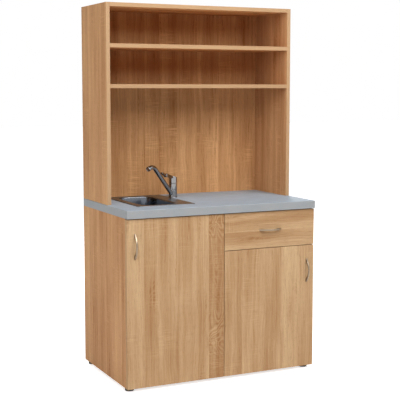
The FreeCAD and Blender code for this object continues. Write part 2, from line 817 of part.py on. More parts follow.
def build_trap():
    centre = (x_bowl, y_bowl)
    bore = pipe_radius - pipe_wall
    z_well = z_bowl_floor + waste_flange_sheet - waste_well_depth - waste_floor
    inlet = tube(pipe_radius - fit_air, bore, (*centre, z_trap - trap_height / 2), (*centre, z_well))
    nodes["trap_inlet_pipe"] = inlet
    z_bottom = z_trap - trap_height
    inside = rod(trap_radius - trap_wall, (*centre, z_bottom - overrun), (*centre, z_trap - trap_wall))
    nose_end = (x_bowl, y_bowl + trap_radius + pipe_radius, z_trap_outlet)
    nose = rod(pipe_radius + trap_wall, (*centre, z_trap_outlet), nose_end)
    shell = rod(trap_radius, (*centre, z_bottom), (*centre, z_trap)).fuse(nose).removeSplitter().cut(inside)
    shell = shell.cut(rod(pipe_radius, (*centre, z_trap_outlet), (x_bowl, y_rear, z_trap_outlet)))
    shell = shell.cut(rod(pipe_radius, (*centre, z_trap - overrun - trap_wall), (*centre, z_trap + overrun)))
    nodes["trap_body"] = shell
    cup = rod(trap_radius + trap_wall, (*centre, z_bottom - trap_wall), (*centre, z_bottom + trap_cup_height))
    nodes["trap_cup"] = cup.cut(rod(trap_radius + fit_air, (*centre, z_bottom), (*centre, z_trap)))
    y_out = y_bowl + trap_radius
    pipe = rod(pipe_radius - fit_air, (x_bowl, y_out, z_trap_outlet), (x_bowl, y_rear, z_trap_outlet))
    wall_end = (x_bowl, y_rear, z_trap_outlet)
    spigot = rod(spigot_radius, (x_bowl, y_rear - spigot_length, z_trap_outlet), wall_end)
    pipe = pipe.fuse(spigot).removeSplitter()
    passage = rod(bore, (x_bowl, y_bowl, z_trap_outlet), (x_bowl, y_rear, z_trap_outlet))
    nodes["trap_outlet_pipe"] = pipe.cut(passage)
    z_nut = z_bowl_floor - sink_sheet
    y_nut = y_bowl + trap_radius + pipe_radius
    nuts = [tube(waste_nut_radius, waste_radius, (*centre, z_nut - waste_nut_height), (*centre, z_nut)),
            tube(trap_nut_radius, pipe_radius, (*centre, z_trap), (*centre, z_trap + trap_nut_height)),
            tube(trap_nut_radius, pipe_radius, (*centre, z_waste - trap_nut_height), (*centre, z_waste)),
            tube(trap_nut_radius, pipe_radius, (x_bowl, y_nut, z_trap_outlet),
                 (x_bowl, y_nut + trap_nut_height, z_trap_outlet))]
    nodes["waste_nuts"] = group(nuts)


# Tap pieces are drawn around the origin with the spout towards +X, and then placed.

def tap_placed(shape):
    moved = shape.copy()
    turned = Rotation(Vector(0, 0, 1), tap_direction)
    moved.Placement = Placement(Vector(x_tap, y_tap, worktop_height), turned)
    return moved


def column(radius, low, high):
    return rod(radius, (0, 0, low), (0, 0, high))


def build_tap():
    section_low = tap_collar_top + tap_joint
    base = column(tap_base_radius, 0, tap_base_height)
    core = column(tap_core_radius, 0, section_low)
    section = column(tap_radius, section_low, tap_body_top)
    section = section.makeFillet(tap_rounding, edges_in_plane(section, "z", tap_body_top))
    body = base.fuse(core).fuse(section).removeSplitter()
    body = body.cut(column(cartridge_radius, tap_body_top - cartridge_height, tap_body_top + overrun))
    nodes["tap_body"] = tap_placed(body)
    cartridge = column(cartridge_radius - fit_air, tap_body_top - cartridge_height, tap_body_top)
    bore = column(stem_radius + fit_air, tap_body_top - stem_depth, tap_body_top + overrun)
    cartridge = cartridge.cut(bore)
    nodes["tap_cartridge"] = tap_placed(cartridge)
    nodes["tap_stem"] = tap_placed(tap_stem())
    nodes["tap_lever"] = tap_placed(tap_lever())
    nodes["lever_pin"] = tap_placed(lever_pin(lever_pin_radius))
    nodes["tap_spout"] = tap_placed(tap_spout())
    nodes["aerator"] = tap_placed(aerator())
    build_tap_fixing()


def lever_pin(radius):
    x, z = -lever_pin_back, lever_pin_height
    return rod(radius, (x, -lever_pin_half_length, z), (x, lever_pin_half_length, z))


def tap_stem():
    """Turning stem of the cartridge, with the ear that carries the lever's pin."""
    low = tap_body_top + carrier_gap
    stem = column(stem_radius, tap_body_top - stem_depth, stem_top)
    carrier = column(carrier_radius, low, low + carrier_thickness)
    x = -lever_pin_back
    ear_x = (x - lever_ear_length / 2, x + lever_ear_length / 2)
    ear_y = (-lever_ear_width / 2, lever_ear_width / 2)
    ear = box(ear_x, ear_y, (low, lever_pin_height + lever_ear_air))
    return stem.fuse(carrier).fuse(ear).removeSplitter().cut(lever_pin(lever_pin_radius + fit_air))


def profile_prism(points, half_width):
    """Outline in the X-Z plane, extruded both ways along Y."""
    corners = [Vector(x, -half_width, z) for x, z in points]
    return Part.Face(Part.makePolygon(corners + corners[:1])).extrude(Vector(0, 2 * half_width, 0))


def tap_lever():
    """Lever handle: a sloping cap over the stem, a tapering block and a thin tip."""
    low = tap_body_top + tap_joint
    slope = (lever_block_top - lever_back_top) / (lever_block_reach + tap_radius)
    top_at = [lever_back_top + slope * (x + tap_radius) for x in (-tap_radius, tap_radius)]
    cap = column(tap_radius, low, lever_block_top)
    outline = [(-tap_radius, low), (tap_radius, low), (tap_radius, top_at[1]), (-tap_radius, top_at[0])]
    cap = cap.common(profile_prism(outline, tap_radius))
    crown = [edge for edge in cap.Edges if edge.BoundBox.ZMin > lever_cavity_top]
    cap = cap.makeFillet(lever_rounding, crown)
    lever = cap.fuse(lever_block(slope)).fuse(lever_tip()).removeSplitter()
    cavity = column(tap_radius - lever_wall, low - overrun, lever_cavity_top)
    relief = profile_prism(rear_relief(low), tap_radius + overrun)
    return lever.cut(cavity).cut(relief).cut(lever_pin(lever_pin_radius + fit_air / 2))


def rear_relief(low):
    """Wedge cut off under the back of the cap, at the lift angle, so that it can tip back."""
    back = tap_radius + overrun
    rise = (back - lever_pin_back) * math.tan(math.radians(lever_lift))
    return [(-lever_pin_back, low), (-back, low + rise), (-back, low - overrun),
            (-lever_pin_back, low - overrun)]


def lever_block(slope):
    root_top = lever_back_top + slope * tap_radius
    outline = [(0, lever_root_bottom), (lever_block_reach, lever_block_bottom),
               (lever_block_reach, lever_block_top), (0, root_top)]
    return tapered(outline, lever_root_half_width, lever_block_half_width)


def lever_tip():
    start = lever_block_reach - lever_tip_root
    outline = [(start, lever_tip_root_bottom), (lever_tip_reach, lever_tip_bottom),
               (lever_tip_reach, lever_tip_top), (start, lever_tip_root_top)]
    return tapered(outline, lever_block_half_width - lever_rounding, lever_tip_half_width)


def tapered(outline, near_half_width, far_half_width):
    """Side outline given from its near end, narrowing in plan to its far end, with round edges."""
    near, far, low = outline[0][0], outline[1][0], outline[0][1]
    high = max(z for x, z in outline)
    corners = [(near, near_half_width), (far, far_half_width),
               (far, -far_half_width), (near, -near_half_width)]
    plan = [Vector(x, y, low) for x, y in corners]
    prism = Part.Face(Part.makePolygon(plan + plan[:1])).extrude(Vector(0, 0, high - low))
    solid = profile_prism(outline, near_half_width + overrun).common(prism)
    return solid.makeFillet(lever_rounding, solid.Edges)


def spout_path(end_length):
    """Straight rise from the collar, one bend over, and a straight end of the given length."""
    rise, drop = math.radians(spout_rise), math.radians(-spout_drop)
    start = Vector(spout_root_reach, 0, spout_root_height)
    z_bend = spout_peak_height - spout_bend_radius * (1 - math.cos(rise))
    x_bend = start.x + (z_bend - start.z) / math.tan(rise)
    centre = Vector(x_bend + spout_bend_radius * math.sin(rise), 0,
                    z_bend - spout_bend_radius * math.cos(rise))
    on_arc = [centre + Vector(-math.sin(turn), 0, math.cos(turn)) * spout_bend_radius
              for turn in (rise, (rise + drop) / 2, drop)]
    end = on_arc[2] + Vector(math.cos(drop), 0, math.sin(drop)) * end_length
    return start, on_arc, end


def swept(radius, end_length):
    start, on_arc, end = spout_path(end_length)
    path = Part.Wire([Part.LineSegment(start, on_arc[0]).toShape(), Part.Arc(*on_arc).toShape(),
                      Part.LineSegment(on_arc[2], end).toShape()])
    ring = Part.Wire(Part.makeCircle(radius, start, on_arc[0] - start))
    return path.makePipeShell([ring], True, False)


def tap_spout():
    low = tap_base_height + carrier_gap
    collar = column(tap_radius, low, tap_collar_top)
    collar = collar.makeFillet(tap_rounding, collar.Edges[:1] + collar.Edges[-1:])
    spout = collar.fuse(swept(spout_radius, aerator_length)).removeSplitter()
    spout = spout.cut(swept(spout_radius - spout_wall, aerator_length + overrun))
    body_room = column(tap_radius + running_air, tap_collar_top, tap_body_top)
    return spout.cut(column(tap_core_radius + fit_air, 0, tap_body_top)).cut(body_room)


def aerator():
    """Ring at the spout's end with a nipple inside the pipe and a sunk grille."""
    end = spout_path(aerator_length)[2]
    drop = math.radians(-spout_drop)
    way = Vector(math.cos(drop), 0, math.sin(drop))
    def along(radius, start, length):
        return Part.makeCylinder(radius, length, end + way * start, way)
    ring = along(aerator_radius, 0, aerator_length)
    nipple = along(spout_radius - spout_wall - fit_air, -aerator_nipple_length,
                   aerator_nipple_length + aerator_recess)
    recess = along(aerator_bore_radius, aerator_length - aerator_recess, overrun)
    bore = along(inlet_bore_radius, -aerator_nipple_length - overrun, 2 * aerator_length + overrun)
    return ring.fuse(nipple).removeSplitter().cut(recess).cut(bore)


def build_tap_fixing():
    """Stud, horseshoe washer and nut under the worktop, and the two threaded inlets."""
    under = -worktop_thickness
    x = -tap_stud_back
    stud = rod(tap_stud_radius, (x, 0, 0), (x, 0, -tap_stud_length))
    washer = column(tap_washer_radius, under - tap_washer_sheet, under)
    washer = washer.cut(rod(tap_stud_radius + fit_air, (x, 0, under - overrun), (x, 0, 0)))
    slot = inlet_spacing / 2 + inlet_radius + running_air
    room_x = (inlet_front - inlet_radius - running_air, tap_washer_radius)
    room = box(room_x, (-slot, slot), (under - overrun, 0))
    washer = washer.cut(room)
    top = under - tap_washer_sheet
    nut = rod(tap_nut_radius, (x, 0, top - tap_nut_height), (x, 0, top))
    nut = nut.cut(rod(tap_stud_radius + fit_air, (x, 0, top - overrun - tap_nut_height), (x, 0, 0)))
    nodes["tap_fixing"] = tap_placed(group([stud, washer, nut]))
    nodes["tap_inlets"] = tap_placed(group([tap_inlet(side * inlet_spacing / 2) for side in (-1, 1)]))


def tap_inlet(y):
    """Copper tail that ends in a threaded union for the supply hose."""
    tail = rod(inlet_radius, (inlet_front, y, 0), (inlet_front, y, -inlet_length))
    union = rod(union_radius, (inlet_front, y, union_length - inlet_length), (inlet_front, y, -inlet_length))
    bore = rod(inlet_bore_radius, (inlet_front, y, 0), (inlet_front, y, -inlet_length))
    return tail.fuse(union).removeSplitter().cut(bore)


def main():
    build_base()
    build_upper_unit()
    build_worktop()
    build_feet()
    build_doors()
    build_runners()
    build_drawer()
    build_sink()
    build_waste()
    build_trap()
    build_tap()
    os.makedirs("parts", exist_ok=True)
    for name, shape in sorted(nodes.items()):
        shape.exportStep("parts/" + name + ".step")
    print(len(nodes), "nodes")


main()
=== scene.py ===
"""Looks of the kitchenette unit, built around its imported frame. Lengths are in metres."""

import functools
import json
import math

import bmesh
import bpy
from bpy.props import FloatProperty, FloatVectorProperty, PointerProperty
from mathutils import Matrix, Vector

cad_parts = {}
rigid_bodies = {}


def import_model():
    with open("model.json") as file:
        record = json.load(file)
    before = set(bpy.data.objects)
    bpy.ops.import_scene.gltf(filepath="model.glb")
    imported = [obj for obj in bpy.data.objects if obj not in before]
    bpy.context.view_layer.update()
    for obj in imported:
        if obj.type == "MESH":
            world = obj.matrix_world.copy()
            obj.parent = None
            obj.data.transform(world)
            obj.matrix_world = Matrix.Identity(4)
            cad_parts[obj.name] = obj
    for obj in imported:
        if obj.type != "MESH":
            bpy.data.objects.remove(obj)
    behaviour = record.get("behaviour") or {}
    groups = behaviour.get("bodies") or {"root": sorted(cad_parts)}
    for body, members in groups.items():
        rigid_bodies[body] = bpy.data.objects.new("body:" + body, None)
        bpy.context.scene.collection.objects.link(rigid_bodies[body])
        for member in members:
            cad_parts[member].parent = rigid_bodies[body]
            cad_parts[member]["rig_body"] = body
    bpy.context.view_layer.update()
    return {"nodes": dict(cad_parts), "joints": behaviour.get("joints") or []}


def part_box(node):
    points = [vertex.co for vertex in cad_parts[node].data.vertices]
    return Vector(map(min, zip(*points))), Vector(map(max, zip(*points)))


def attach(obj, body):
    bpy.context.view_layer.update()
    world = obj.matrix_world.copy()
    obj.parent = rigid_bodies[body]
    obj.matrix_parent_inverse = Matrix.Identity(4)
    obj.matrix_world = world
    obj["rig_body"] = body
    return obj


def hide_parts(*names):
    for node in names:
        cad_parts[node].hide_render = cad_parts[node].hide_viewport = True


bl_info = {
    "name": "Kitchenette Unit",
    "version": (1, 0, 0),
    "blender": (4, 5, 0),
    "location": "View3D > Sidebar > Kitchenette",
    "description": "Dresses the kitchenette unit: decor boards, worktop, sink, tap, handles and fittings",
    "category": "Add Mesh",
}

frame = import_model()

SINK_LOW, SINK_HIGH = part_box("sink")
WORKTOP_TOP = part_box("worktop")[1].z
TAP_AXIS = next(joint["pos_m"] for joint in frame["joints"] if joint["name"] == "spout_swivel")

# Tolerances: doubled points, faces of no area, points on one level, and faces that are one flat face.
SAME_POINT = 1e-6
NO_AREA = 1e-5
ON_LEVEL = 1e-5
FLAT = math.radians(0.5)

# Least part of its normal along the way a face looks, and most part along Z of an upright face's normal.
FACING = 0.7
UPRIGHT = 0.3


# Properties

def shade(red, green, blue):
    """Colour given as it looks on a screen, 0 to 255, turned into the linear value a shader wants."""
    return tuple(((part / 255 + 0.055) / 1.055) ** 2.4 for part in (red, green, blue))


def number(name, description, default, **kind):
    return FloatProperty(name=name, description=description, default=default, **kind)


def angle(name, description, degrees):
    return number(name, description, math.radians(degrees), unit="ROTATION")


length = functools.partial(number, min=0.0, unit="LENGTH", precision=4)
share = functools.partial(number, min=0.0, max=1.0, subtype="FACTOR")
power = functools.partial(number, min=0.0, unit="POWER")


def colour(name, description, default):
    return FloatVectorProperty(name=name, description=description, default=shade(*default), size=3,
                               min=0.0, max=1.0, subtype="COLOR")


class KitchenBoards(bpy.types.PropertyGroup):
    light: colour("Light grain", "Lightest tone of the oak decor on the fronts", (205, 173, 134))
    dark: colour("Dark grain", "Darkest tone of the oak decor on the fronts", (155, 112, 73))
    side_light: colour("Light grain, sides", "Lightest tone of the oak decor on the sides",
                       (214, 168, 122))
    side_dark: colour("Dark grain, sides", "Darkest tone of the oak decor on the sides", (162, 109, 68))
    # Partly the boards' own redder tone, partly painted light and shade: these inside tones are fitted to
    # the saturated, reddish look of the wood in the unit's shade.
    inner_light: colour("Light grain, inside", "Lightest tone of the oak decor inside", (228, 178, 127))
    inner_dark: colour("Dark grain, inside", "Darkest tone of the oak decor inside", (156, 101, 56))
    edging: colour("Edging", "Plain edging on the boards' front edges", (180, 149, 116))
    plank: length("Plank width", "Mean width of the planks printed in the decor", 0.105)
    saw_marks: share("Saw marks", "Strength of the marks across the grain", 0.27)
    relief: share("Relief", "Depth of the embossed pores", 0.25)
    gloss: share("Gloss", "Strength of the decor's faint gloss", 0.04)
    fibre: colour("Back board", "Bare fibreboard at the unit's back", (146, 110, 76))
    chip: colour("Chipboard", "Raw board edges at the unit's back", (176, 146, 106))
    drawer_board: colour("Drawer board", "Smooth white board of the drawer box", (226, 224, 219))


class KitchenWorktop(bpy.types.PropertyGroup):
    base: colour("Laminate", "Main tone of the worktop", (162, 175, 187))
    # Painted shade: the upright faces get this darker, greyer tone, set apart from the top's by which way
    # they face.
    edge: colour("Edge", "Tone of the worktop's edges", (155, 156, 156))
    fleck: colour("Flecks", "Tone of the fine flecks in the laminate", (142, 151, 159))
    gloss: share("Gloss", "Strength of the laminate's faint gloss", 0.08)
    backing: colour("Backing paper", "Underside of the worktop", (120, 96, 70))


class KitchenSink(bpy.types.PropertyGroup):
    steel: colour("Steel", "Stainless steel of the sink", (118, 121, 127))
    # Painted shade: a darker, bluer tint blended in deeper down the bowl, standing in for the shade and
    # dark reflections inside it.
    bowl: colour("Bowl", "Darker tint of the bowl's polished depth", (102, 109, 121))
    sheet: length("Sheet", "Thickness of the drawn sheet", 0.0008)
    corner: length("Rim corner radius", "Radius of the rim's corners", 0.014)
    left: length("Left ledge", "From the rim's left edge to the bowl", 0.040)
    right: length("Right ledge", "From the rim's right edge to the bowl", 0.071)
    front: length("Front ledge", "From the rim's front edge to the bowl", 0.040)
    rear: length("Rear ledge", "From the rim's rear edge to the bowl", 0.035)
    bowl_corner: length("Bowl corner radius", "Radius of the bowl's upright corners", 0.052)
    lip: length("Lip radius", "Rounding where the ledge drops into the bowl", 0.006)
    taper: length("Taper", "How far the bowl narrows on each side", 0.012)
    floor_radius: length("Floor radius", "Rounding between the bowl's walls and floor", 0.022)
    depth: length("Bowl depth", "From the rim's top to the bowl's floor", 0.140)
    waste: length("Waste radius", "Radius of the hole for the waste", 0.026)


class KitchenTap(bpy.types.PropertyGroup):
    chrome: colour("Chrome", "Tint of the polished chrome", (154, 152, 152))
    heading: angle("Heading", "Direction that the spout points in, from +X", 212.0)
    radius: length("Body radius", "Radius of the tap's body, collar and lever cap", 0.0215)
    core: length("Core radius", "Radius of the core seen in the joints", 0.016)
    pipe: length("Spout radius", "Radius of the spout's pipe", 0.011)
    rise: angle("Rise", "Slope of the spout's straight run", 43.0)
    drop: angle("Drop", "Slope of the spout's end below level", 18.0)
    bend: length("Bend radius", "Radius of the spout's bend", 0.045)
    peak: length("Peak height", "Height of the spout's centre line above the worktop", 0.1655)


class KitchenHandles(bpy.types.PropertyGroup):
    nickel: colour("Nickel", "Tint of the satin nickel bows", (140, 125, 106))
    length: length("Length", "Length of a bow handle", 0.120)
    projection: length("Projection", "How far the bow stands out", 0.028)
    width: length("Width", "Width of the bow", 0.008)
    thickness: length("Thickness", "Thickness of the bow at its middle", 0.0056)
    foot: length("Foot", "Length of each end that rests on the front", 0.018)
    toe: length("Toe", "Height of the bow's ends", 0.002)


class KitchenStage(bpy.types.PropertyGroup):
    floor: colour("Floor", "Colour of the floor", (244, 244, 244))
    glow: share("Floor glow", "How far the floor is lifted towards the white backdrop", 0.7)
    key: power("Key light", "Power of the high soft light at the front right", 160.0)
    front: power("Front light", "Power of the soft light at the front left", 80.0)
    fill: power("Fill light", "Power of the soft light from the left", 74.0)
    top: power("Top light", "Power of the soft light overhead", 72.0)
    back: power("Back light", "Power of the soft light behind the unit", 170.0)
    ambient: share("Ambient", "Level of the even light from all round", 0.02)
    lens: number("Lens", "Focal length of the camera", 0.089232, unit="CAMERA")


# Modelling helpers

def only(obj):
    """Leaves one object selected and active."""
    bpy.ops.object.select_all(action="DESELECT")
    obj.select_set(True)
    bpy.context.view_layer.objects.active = obj


def select(action="SELECT"):
    """Selects all of the open mesh, or none of it."""
    bpy.ops.mesh.select_all(action=action)


def open_mesh(piece, action="SELECT"):
    """Opens a piece in edit mode with all of it selected, or none."""
    only(piece)
    bpy.ops.object.mode_set(mode="EDIT")
    select(action)


def leave_edit():
    bpy.ops.object.mode_set(mode="OBJECT")


def settle(name):
    """Names the new primitive, puts its place into its mesh and opens it in edit mode."""
    piece = bpy.context.object
    piece.name = name
    bpy.ops.object.transform_apply(location=True, rotation=True, scale=True)
    bpy.ops.object.mode_set(mode="EDIT")
    bpy.ops.mesh.select_mode(type="VERT")
    return piece


def block(name, low, high):
    """Box between two corners, opened in edit mode."""
    low, high = Vector(low), Vector(high)
    bpy.ops.mesh.primitive_cube_add(size=1, location=(low + high) / 2, scale=high - low)
    return settle(name)


def extruded(step):
    bpy.ops.mesh.extrude_region_move(TRANSFORM_OT_translate={"value": step})


def lifted(height):
    bpy.ops.transform.translate(value=(0, 0, height))


def drawn(name, points):
    """Line drawn from point to point, opened in edit mode."""
    bpy.ops.mesh.primitive_plane_add(size=0.01)
    piece = settle(name)
    select()
    bpy.ops.mesh.merge(type="CENTER")
    bpy.ops.transform.translate(value=points[0])
    for before, point in zip(points, points[1:]):
        extruded([new - old for new, old in zip(point, before)])
    select()
    return piece


def wall(inner, outer, low, high):
    """Profile of a disc or a ring between two radii and two heights."""
    return [(inner, low), (outer, low), (outer, high), (inner, high)]


def turned(name, profile, steps=48):
    """Shape turned on Z from a profile of radius and height."""
    piece = drawn(name, [(radius, 0, height) for radius, height in profile])
    bpy.ops.mesh.spin(steps=steps, angle=math.tau, center=(0, 0, 0), axis=(0, 0, 1), dupli=False)
    clean()
    leave_edit()
    return piece


def pick(piece, kind, test):
    """Selects the faces, edges or vertices that pass a test of their place and direction."""
    bpy.ops.mesh.select_mode(type={"faces": "FACE", "edges": "EDGE", "verts": "VERT"}[kind])
    select("DESELECT")
    mesh = bmesh.from_edit_mesh(piece.data)
    for item in getattr(mesh, kind):
        if kind == "faces":
            chosen = test(item.calc_center_median(), item.normal)
        elif kind == "edges":
            ends = [vert.co for vert in item.verts]
            chosen = test((ends[0] + ends[1]) / 2, item.is_boundary or item.is_wire)
        else:
            chosen = test(item.co)
        item.select_set(chosen)
    mesh.select_flush_mode()
    bmesh.update_edit_mesh(piece.data)


def clean():
    """Joins doubled points and turns all faces outwards, in edit mode."""
    select()
    bpy.ops.mesh.remove_doubles(threshold=SAME_POINT)
    bpy.ops.mesh.normals_make_consistent(inside=False)


def modify(piece, kind, **settings):
    """Adds a modifier with its settings and applies it."""
    only(piece)
    bpy.ops.object.modifier_add(type=kind)
    modifier = piece.modifiers[-1]
    for name, value in settings.items():
        setattr(modifier, name, value)
    bpy.ops.object.modifier_apply(modifier=modifier.name)


def drop_slivers(piece):
    """Dissolves the faces of no area that a rounding or a join leaves."""
    open_mesh(piece)
    bpy.ops.mesh.dissolve_degenerate(threshold=NO_AREA)
    leave_edit()


def soften(piece, width, segments=3, limit=30):
    """Rounds every edge sharper than the limit, in degrees."""
    modify(piece, "BEVEL", width=width, segments=segments, limit_method="ANGLE",
           angle_limit=math.radians(limit), use_clamp_overlap=True, miter_outer="MITER_ARC")
    drop_slivers(piece)


def combined(piece, other, operation):
    """Adds another solid to a piece, or cuts it out."""
    modify(piece, "BOOLEAN", operation=operation, solver="EXACT", object=other)
    bpy.data.objects.remove(other)
    if operation == "UNION":
        drop_slivers(piece)


def place(piece, location, turn=(0, 0, 0)):
    """Turns and moves a piece drawn at the origin, and puts that into its mesh."""
    only(piece)
    piece.rotation_euler = turn
    piece.location = location
    bpy.ops.object.transform_apply(location=True, rotation=True, scale=True)
    return piece


def duplicate(piece, name):
    """Copy of a piece with its own mesh."""
    only(piece)
    bpy.ops.object.duplicate(linked=False)
    copy = bpy.context.object
    copy.name = name
    return copy


def joined(name, pieces):
    """Several meshes made into one object."""
    only(pieces[0])
    for piece in pieces:
        piece.select_set(True)
    bpy.ops.object.join()
    piece = bpy.context.object
    piece.name = name
    return piece


def fluted(piece, low, high, radius, depth, edge):
    """Sinks every second strip of a turned piece's outer wall, as on a grip."""
    open_mesh(piece, "DESELECT")
    mesh = bmesh.from_edit_mesh(piece.data)
    walls = [face for face in mesh.faces
             if low < face.calc_center_median().z < high and abs(face.normal.z) < UPRIGHT
             and math.hypot(*face.calc_center_median().xy) > radius]
    walls.sort(key=lambda face: math.atan2(face.normal.y, face.normal.x))
    for face in walls[::2]:
        face.select_set(True)
    bmesh.update_edit_mesh(piece.data)
    bpy.ops.mesh.inset(thickness=depth * edge, depth=-depth, use_individual=True)
    leave_edit()


def finished(piece, body, slot, material, *nodes, smooth=35):
    """Shades a piece, gives it its material and fixes it to its body in place of CAD nodes."""
    only(piece)
    bpy.ops.object.shade_smooth_by_angle(angle=math.radians(smooth))
    modify(piece, "WEIGHTED_NORMAL", mode="FACE_AREA", weight=90, keep_sharp=True)
    piece.data.materials.clear()
    piece.data.materials.append(material)
    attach(piece, body)
    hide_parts(*nodes)


def refine(node, name, width, slot, material):
    """Puts a merged, softened and smoothly shaded copy of a CAD node in the node's place."""
    piece = duplicate(frame["nodes"][node], name)
    piece.parent = None
    body = piece["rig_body"]
    for key in [key for key in piece.keys() if key.startswith("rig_")]:
        del piece[key]
    open_mesh(piece)
    bpy.ops.mesh.remove_doubles(threshold=SAME_POINT)
    bpy.ops.mesh.dissolve_limited(angle_limit=FLAT)
    leave_edit()
    soften(piece, width, 2)
    finished(piece, body, slot, material, node)


def dress(material, *nodes):
    """Gives CAD nodes that stay a better material."""
    for node in nodes:
        for slot in frame["nodes"][node].material_slots:
            slot.material = material


# Shader helpers

def put(socket, value):
    if isinstance(value, bpy.types.NodeSocket):
        socket.id_data.links.new(value, socket)
    else:
        socket.default_value = value


def feed(sockets, **values):
    """Gives each named socket its value, or links it to the socket that feeds it."""
    for name, value in values.items():
        put(sockets[name.replace("_", " ")], value)


def added(tree, kind, settings=None, **inputs):
    """Adds a node to a tree, with its settings and its inputs."""
    made = tree.nodes.new("ShaderNode" + kind)
    for name, value in (settings or {}).items():
        setattr(made, name, value)
    feed(made.inputs, **inputs)
    return made


def home(values):
    """Tree of the first socket among the values."""
    return next(value.id_data for value in values if isinstance(value, bpy.types.NodeSocket))


def wire(kind, settings=None, **inputs):
    """Adds a node to the tree that its inputs come from."""
    return added(home(inputs.values()), kind, settings, **inputs)


def calculated(kind, operation, values):
    made = added(home(values), kind, {"operation": operation})
    for socket, value in zip(made.inputs, values):
        put(socket, value)
    return made.outputs[0]


def sums(operation, *values):
    """Math node."""
    return calculated("Math", operation, values)


def times(first, second):
    return sums("MULTIPLY", first, second)


def vectors(operation, *values):
    """Vector Math node."""
    return calculated("VectorMath", operation, values)


def swung(pattern, amount, start):
    """Adds to a starting value the swing of a pattern about its middle."""
    return sums("MULTIPLY_ADD", sums("SUBTRACT", pattern, 0.5), amount, start)


def noise(vector, scale=1.0, detail=2.0, roughness=0.5, distortion=0.0):
    return wire("TexNoise", Vector=vector, Scale=scale, Detail=detail, Roughness=roughness,
                Distortion=distortion).outputs["Fac"]


def ranged(value, low, high, to_low=0.0, to_high=1.0):
    return wire("MapRange", Value=value, From_Min=low, From_Max=high, To_Min=to_low,
                To_Max=to_high).outputs["Result"]


def axes(vector):
    return wire("SeparateXYZ", Vector=vector).outputs


def blended(factor, first, second, mode="MIX"):
    made = added(home((factor, first, second)), "Mix", {"data_type": "RGBA", "blend_type": mode})
    put(made.inputs[0], factor)
    for socket, value in ((made.inputs[6], first), (made.inputs[7], second)):
        put(socket, value if isinstance(value, bpy.types.NodeSocket) else (*value[:3], 1.0))
    return made.outputs[2]


def tinted(colour, tint):
    return blended(1.0, colour, tint, "MULTIPLY")


def darker(tint, part):
    return tuple(channel * part for channel in tint)


def new_group(name, inputs, outputs):
    """Node group with its named sockets, and its input and output nodes."""
    tree = bpy.data.node_groups.new(name, "ShaderNodeTree")
    for way, sockets in (("INPUT", inputs), ("OUTPUT", outputs)):
        for label, kind in sockets.items():
            tree.interface.new_socket(name=label, in_out=way, socket_type="NodeSocket" + kind)
    return tree, tree.nodes.new("NodeGroupInput").outputs, tree.nodes.new("NodeGroupOutput").inputs


def use_group(group, **inputs):
    return wire("Group", {"node_tree": group}, **inputs).outputs


def new_material(name):
    """Material with its shader and its coordinates."""
    material = bpy.data.materials.new(name)
    material.use_nodes = True
    tree = material.node_tree
    tree.nodes.clear()
    shader = added(tree, "BsdfPrincipled")
    wire("OutputMaterial", Surface=shader.outputs[0])
    return material, shader, added(tree, "TexCoord").outputs


def shown_rays(tree):
    """One where the camera, a gloss or a glass looks at the backdrop, and zero where it only lights."""
    rays = added(tree, "LightPath").outputs
    seen = sums("MAXIMUM", rays["Is Camera Ray"], rays["Is Glossy Ray"])
    return sums("MAXIMUM", seen, rays["Is Transmission Ray"])


def bump(shader, height, strength, distance):
    made = wire("Bump", Height=height, Strength=strength, Distance=distance)
    feed(shader.inputs, Normal=made.outputs[0])


# Shared effects

# Height in metres of the relief on boards and on smooth surfaces, and its share on polished metal.
BOARD_RELIEF = 0.0002
FINE_RELIEF = 0.0001
METAL_RELIEF = 0.02

# Features per metre of each pattern in the oak decor, across and along the grain.
OAK_SCALES = {
    "sway": (8.0, 5.0), "field": (13.0, 9.0), "bands": (24.0, 0.35), "streaks": (95.0, 1.1),
    "fibres": (420.0, 5.0), "shadows": (13.0, 1.6), "flames": (62.0, 3.4), "pores": (1300.0, 30.0),
    "patches": (6.0, 6.5), "saw_lines": (12.0, 260.0),
}
# How far apart in the print the planks lie, and the figured stave from them.
PLANK_JUMP = (3.0, 3.0, 11.0)
FIGURED_JUMP = 17.0
SWAY_WIDTH = (0.03, 0.0, 0.0)
RING_TURNS = 68.0
FIGURE_TURNS = 11.4
RING_SHARES = (0.06, 0.42)
MEAN_TONE = 0.56
PORE_TINT = (0.62, 0.55, 0.5)
SAW_TINT = (1.1, 1.1, 1.08)
CHIP_TINT = (0.5, 0.44, 0.38)

# Scale and darkest part of the brushing; depth of the bowl's polish and the roughness it leaves.
BRUSH_SCALES = (2600.0, 14.0, 2600.0)
BRUSH_DARK = 0.82
POLISH_FALL = 0.008
POLISHED = 0.42


def pattern(name, vector, **settings):
    """Noise of the oak's print, stretched along the grain."""
    across, along = OAK_SCALES[name]
    return noise(vectors("MULTIPLY", vector, (across, across, along)), **settings)


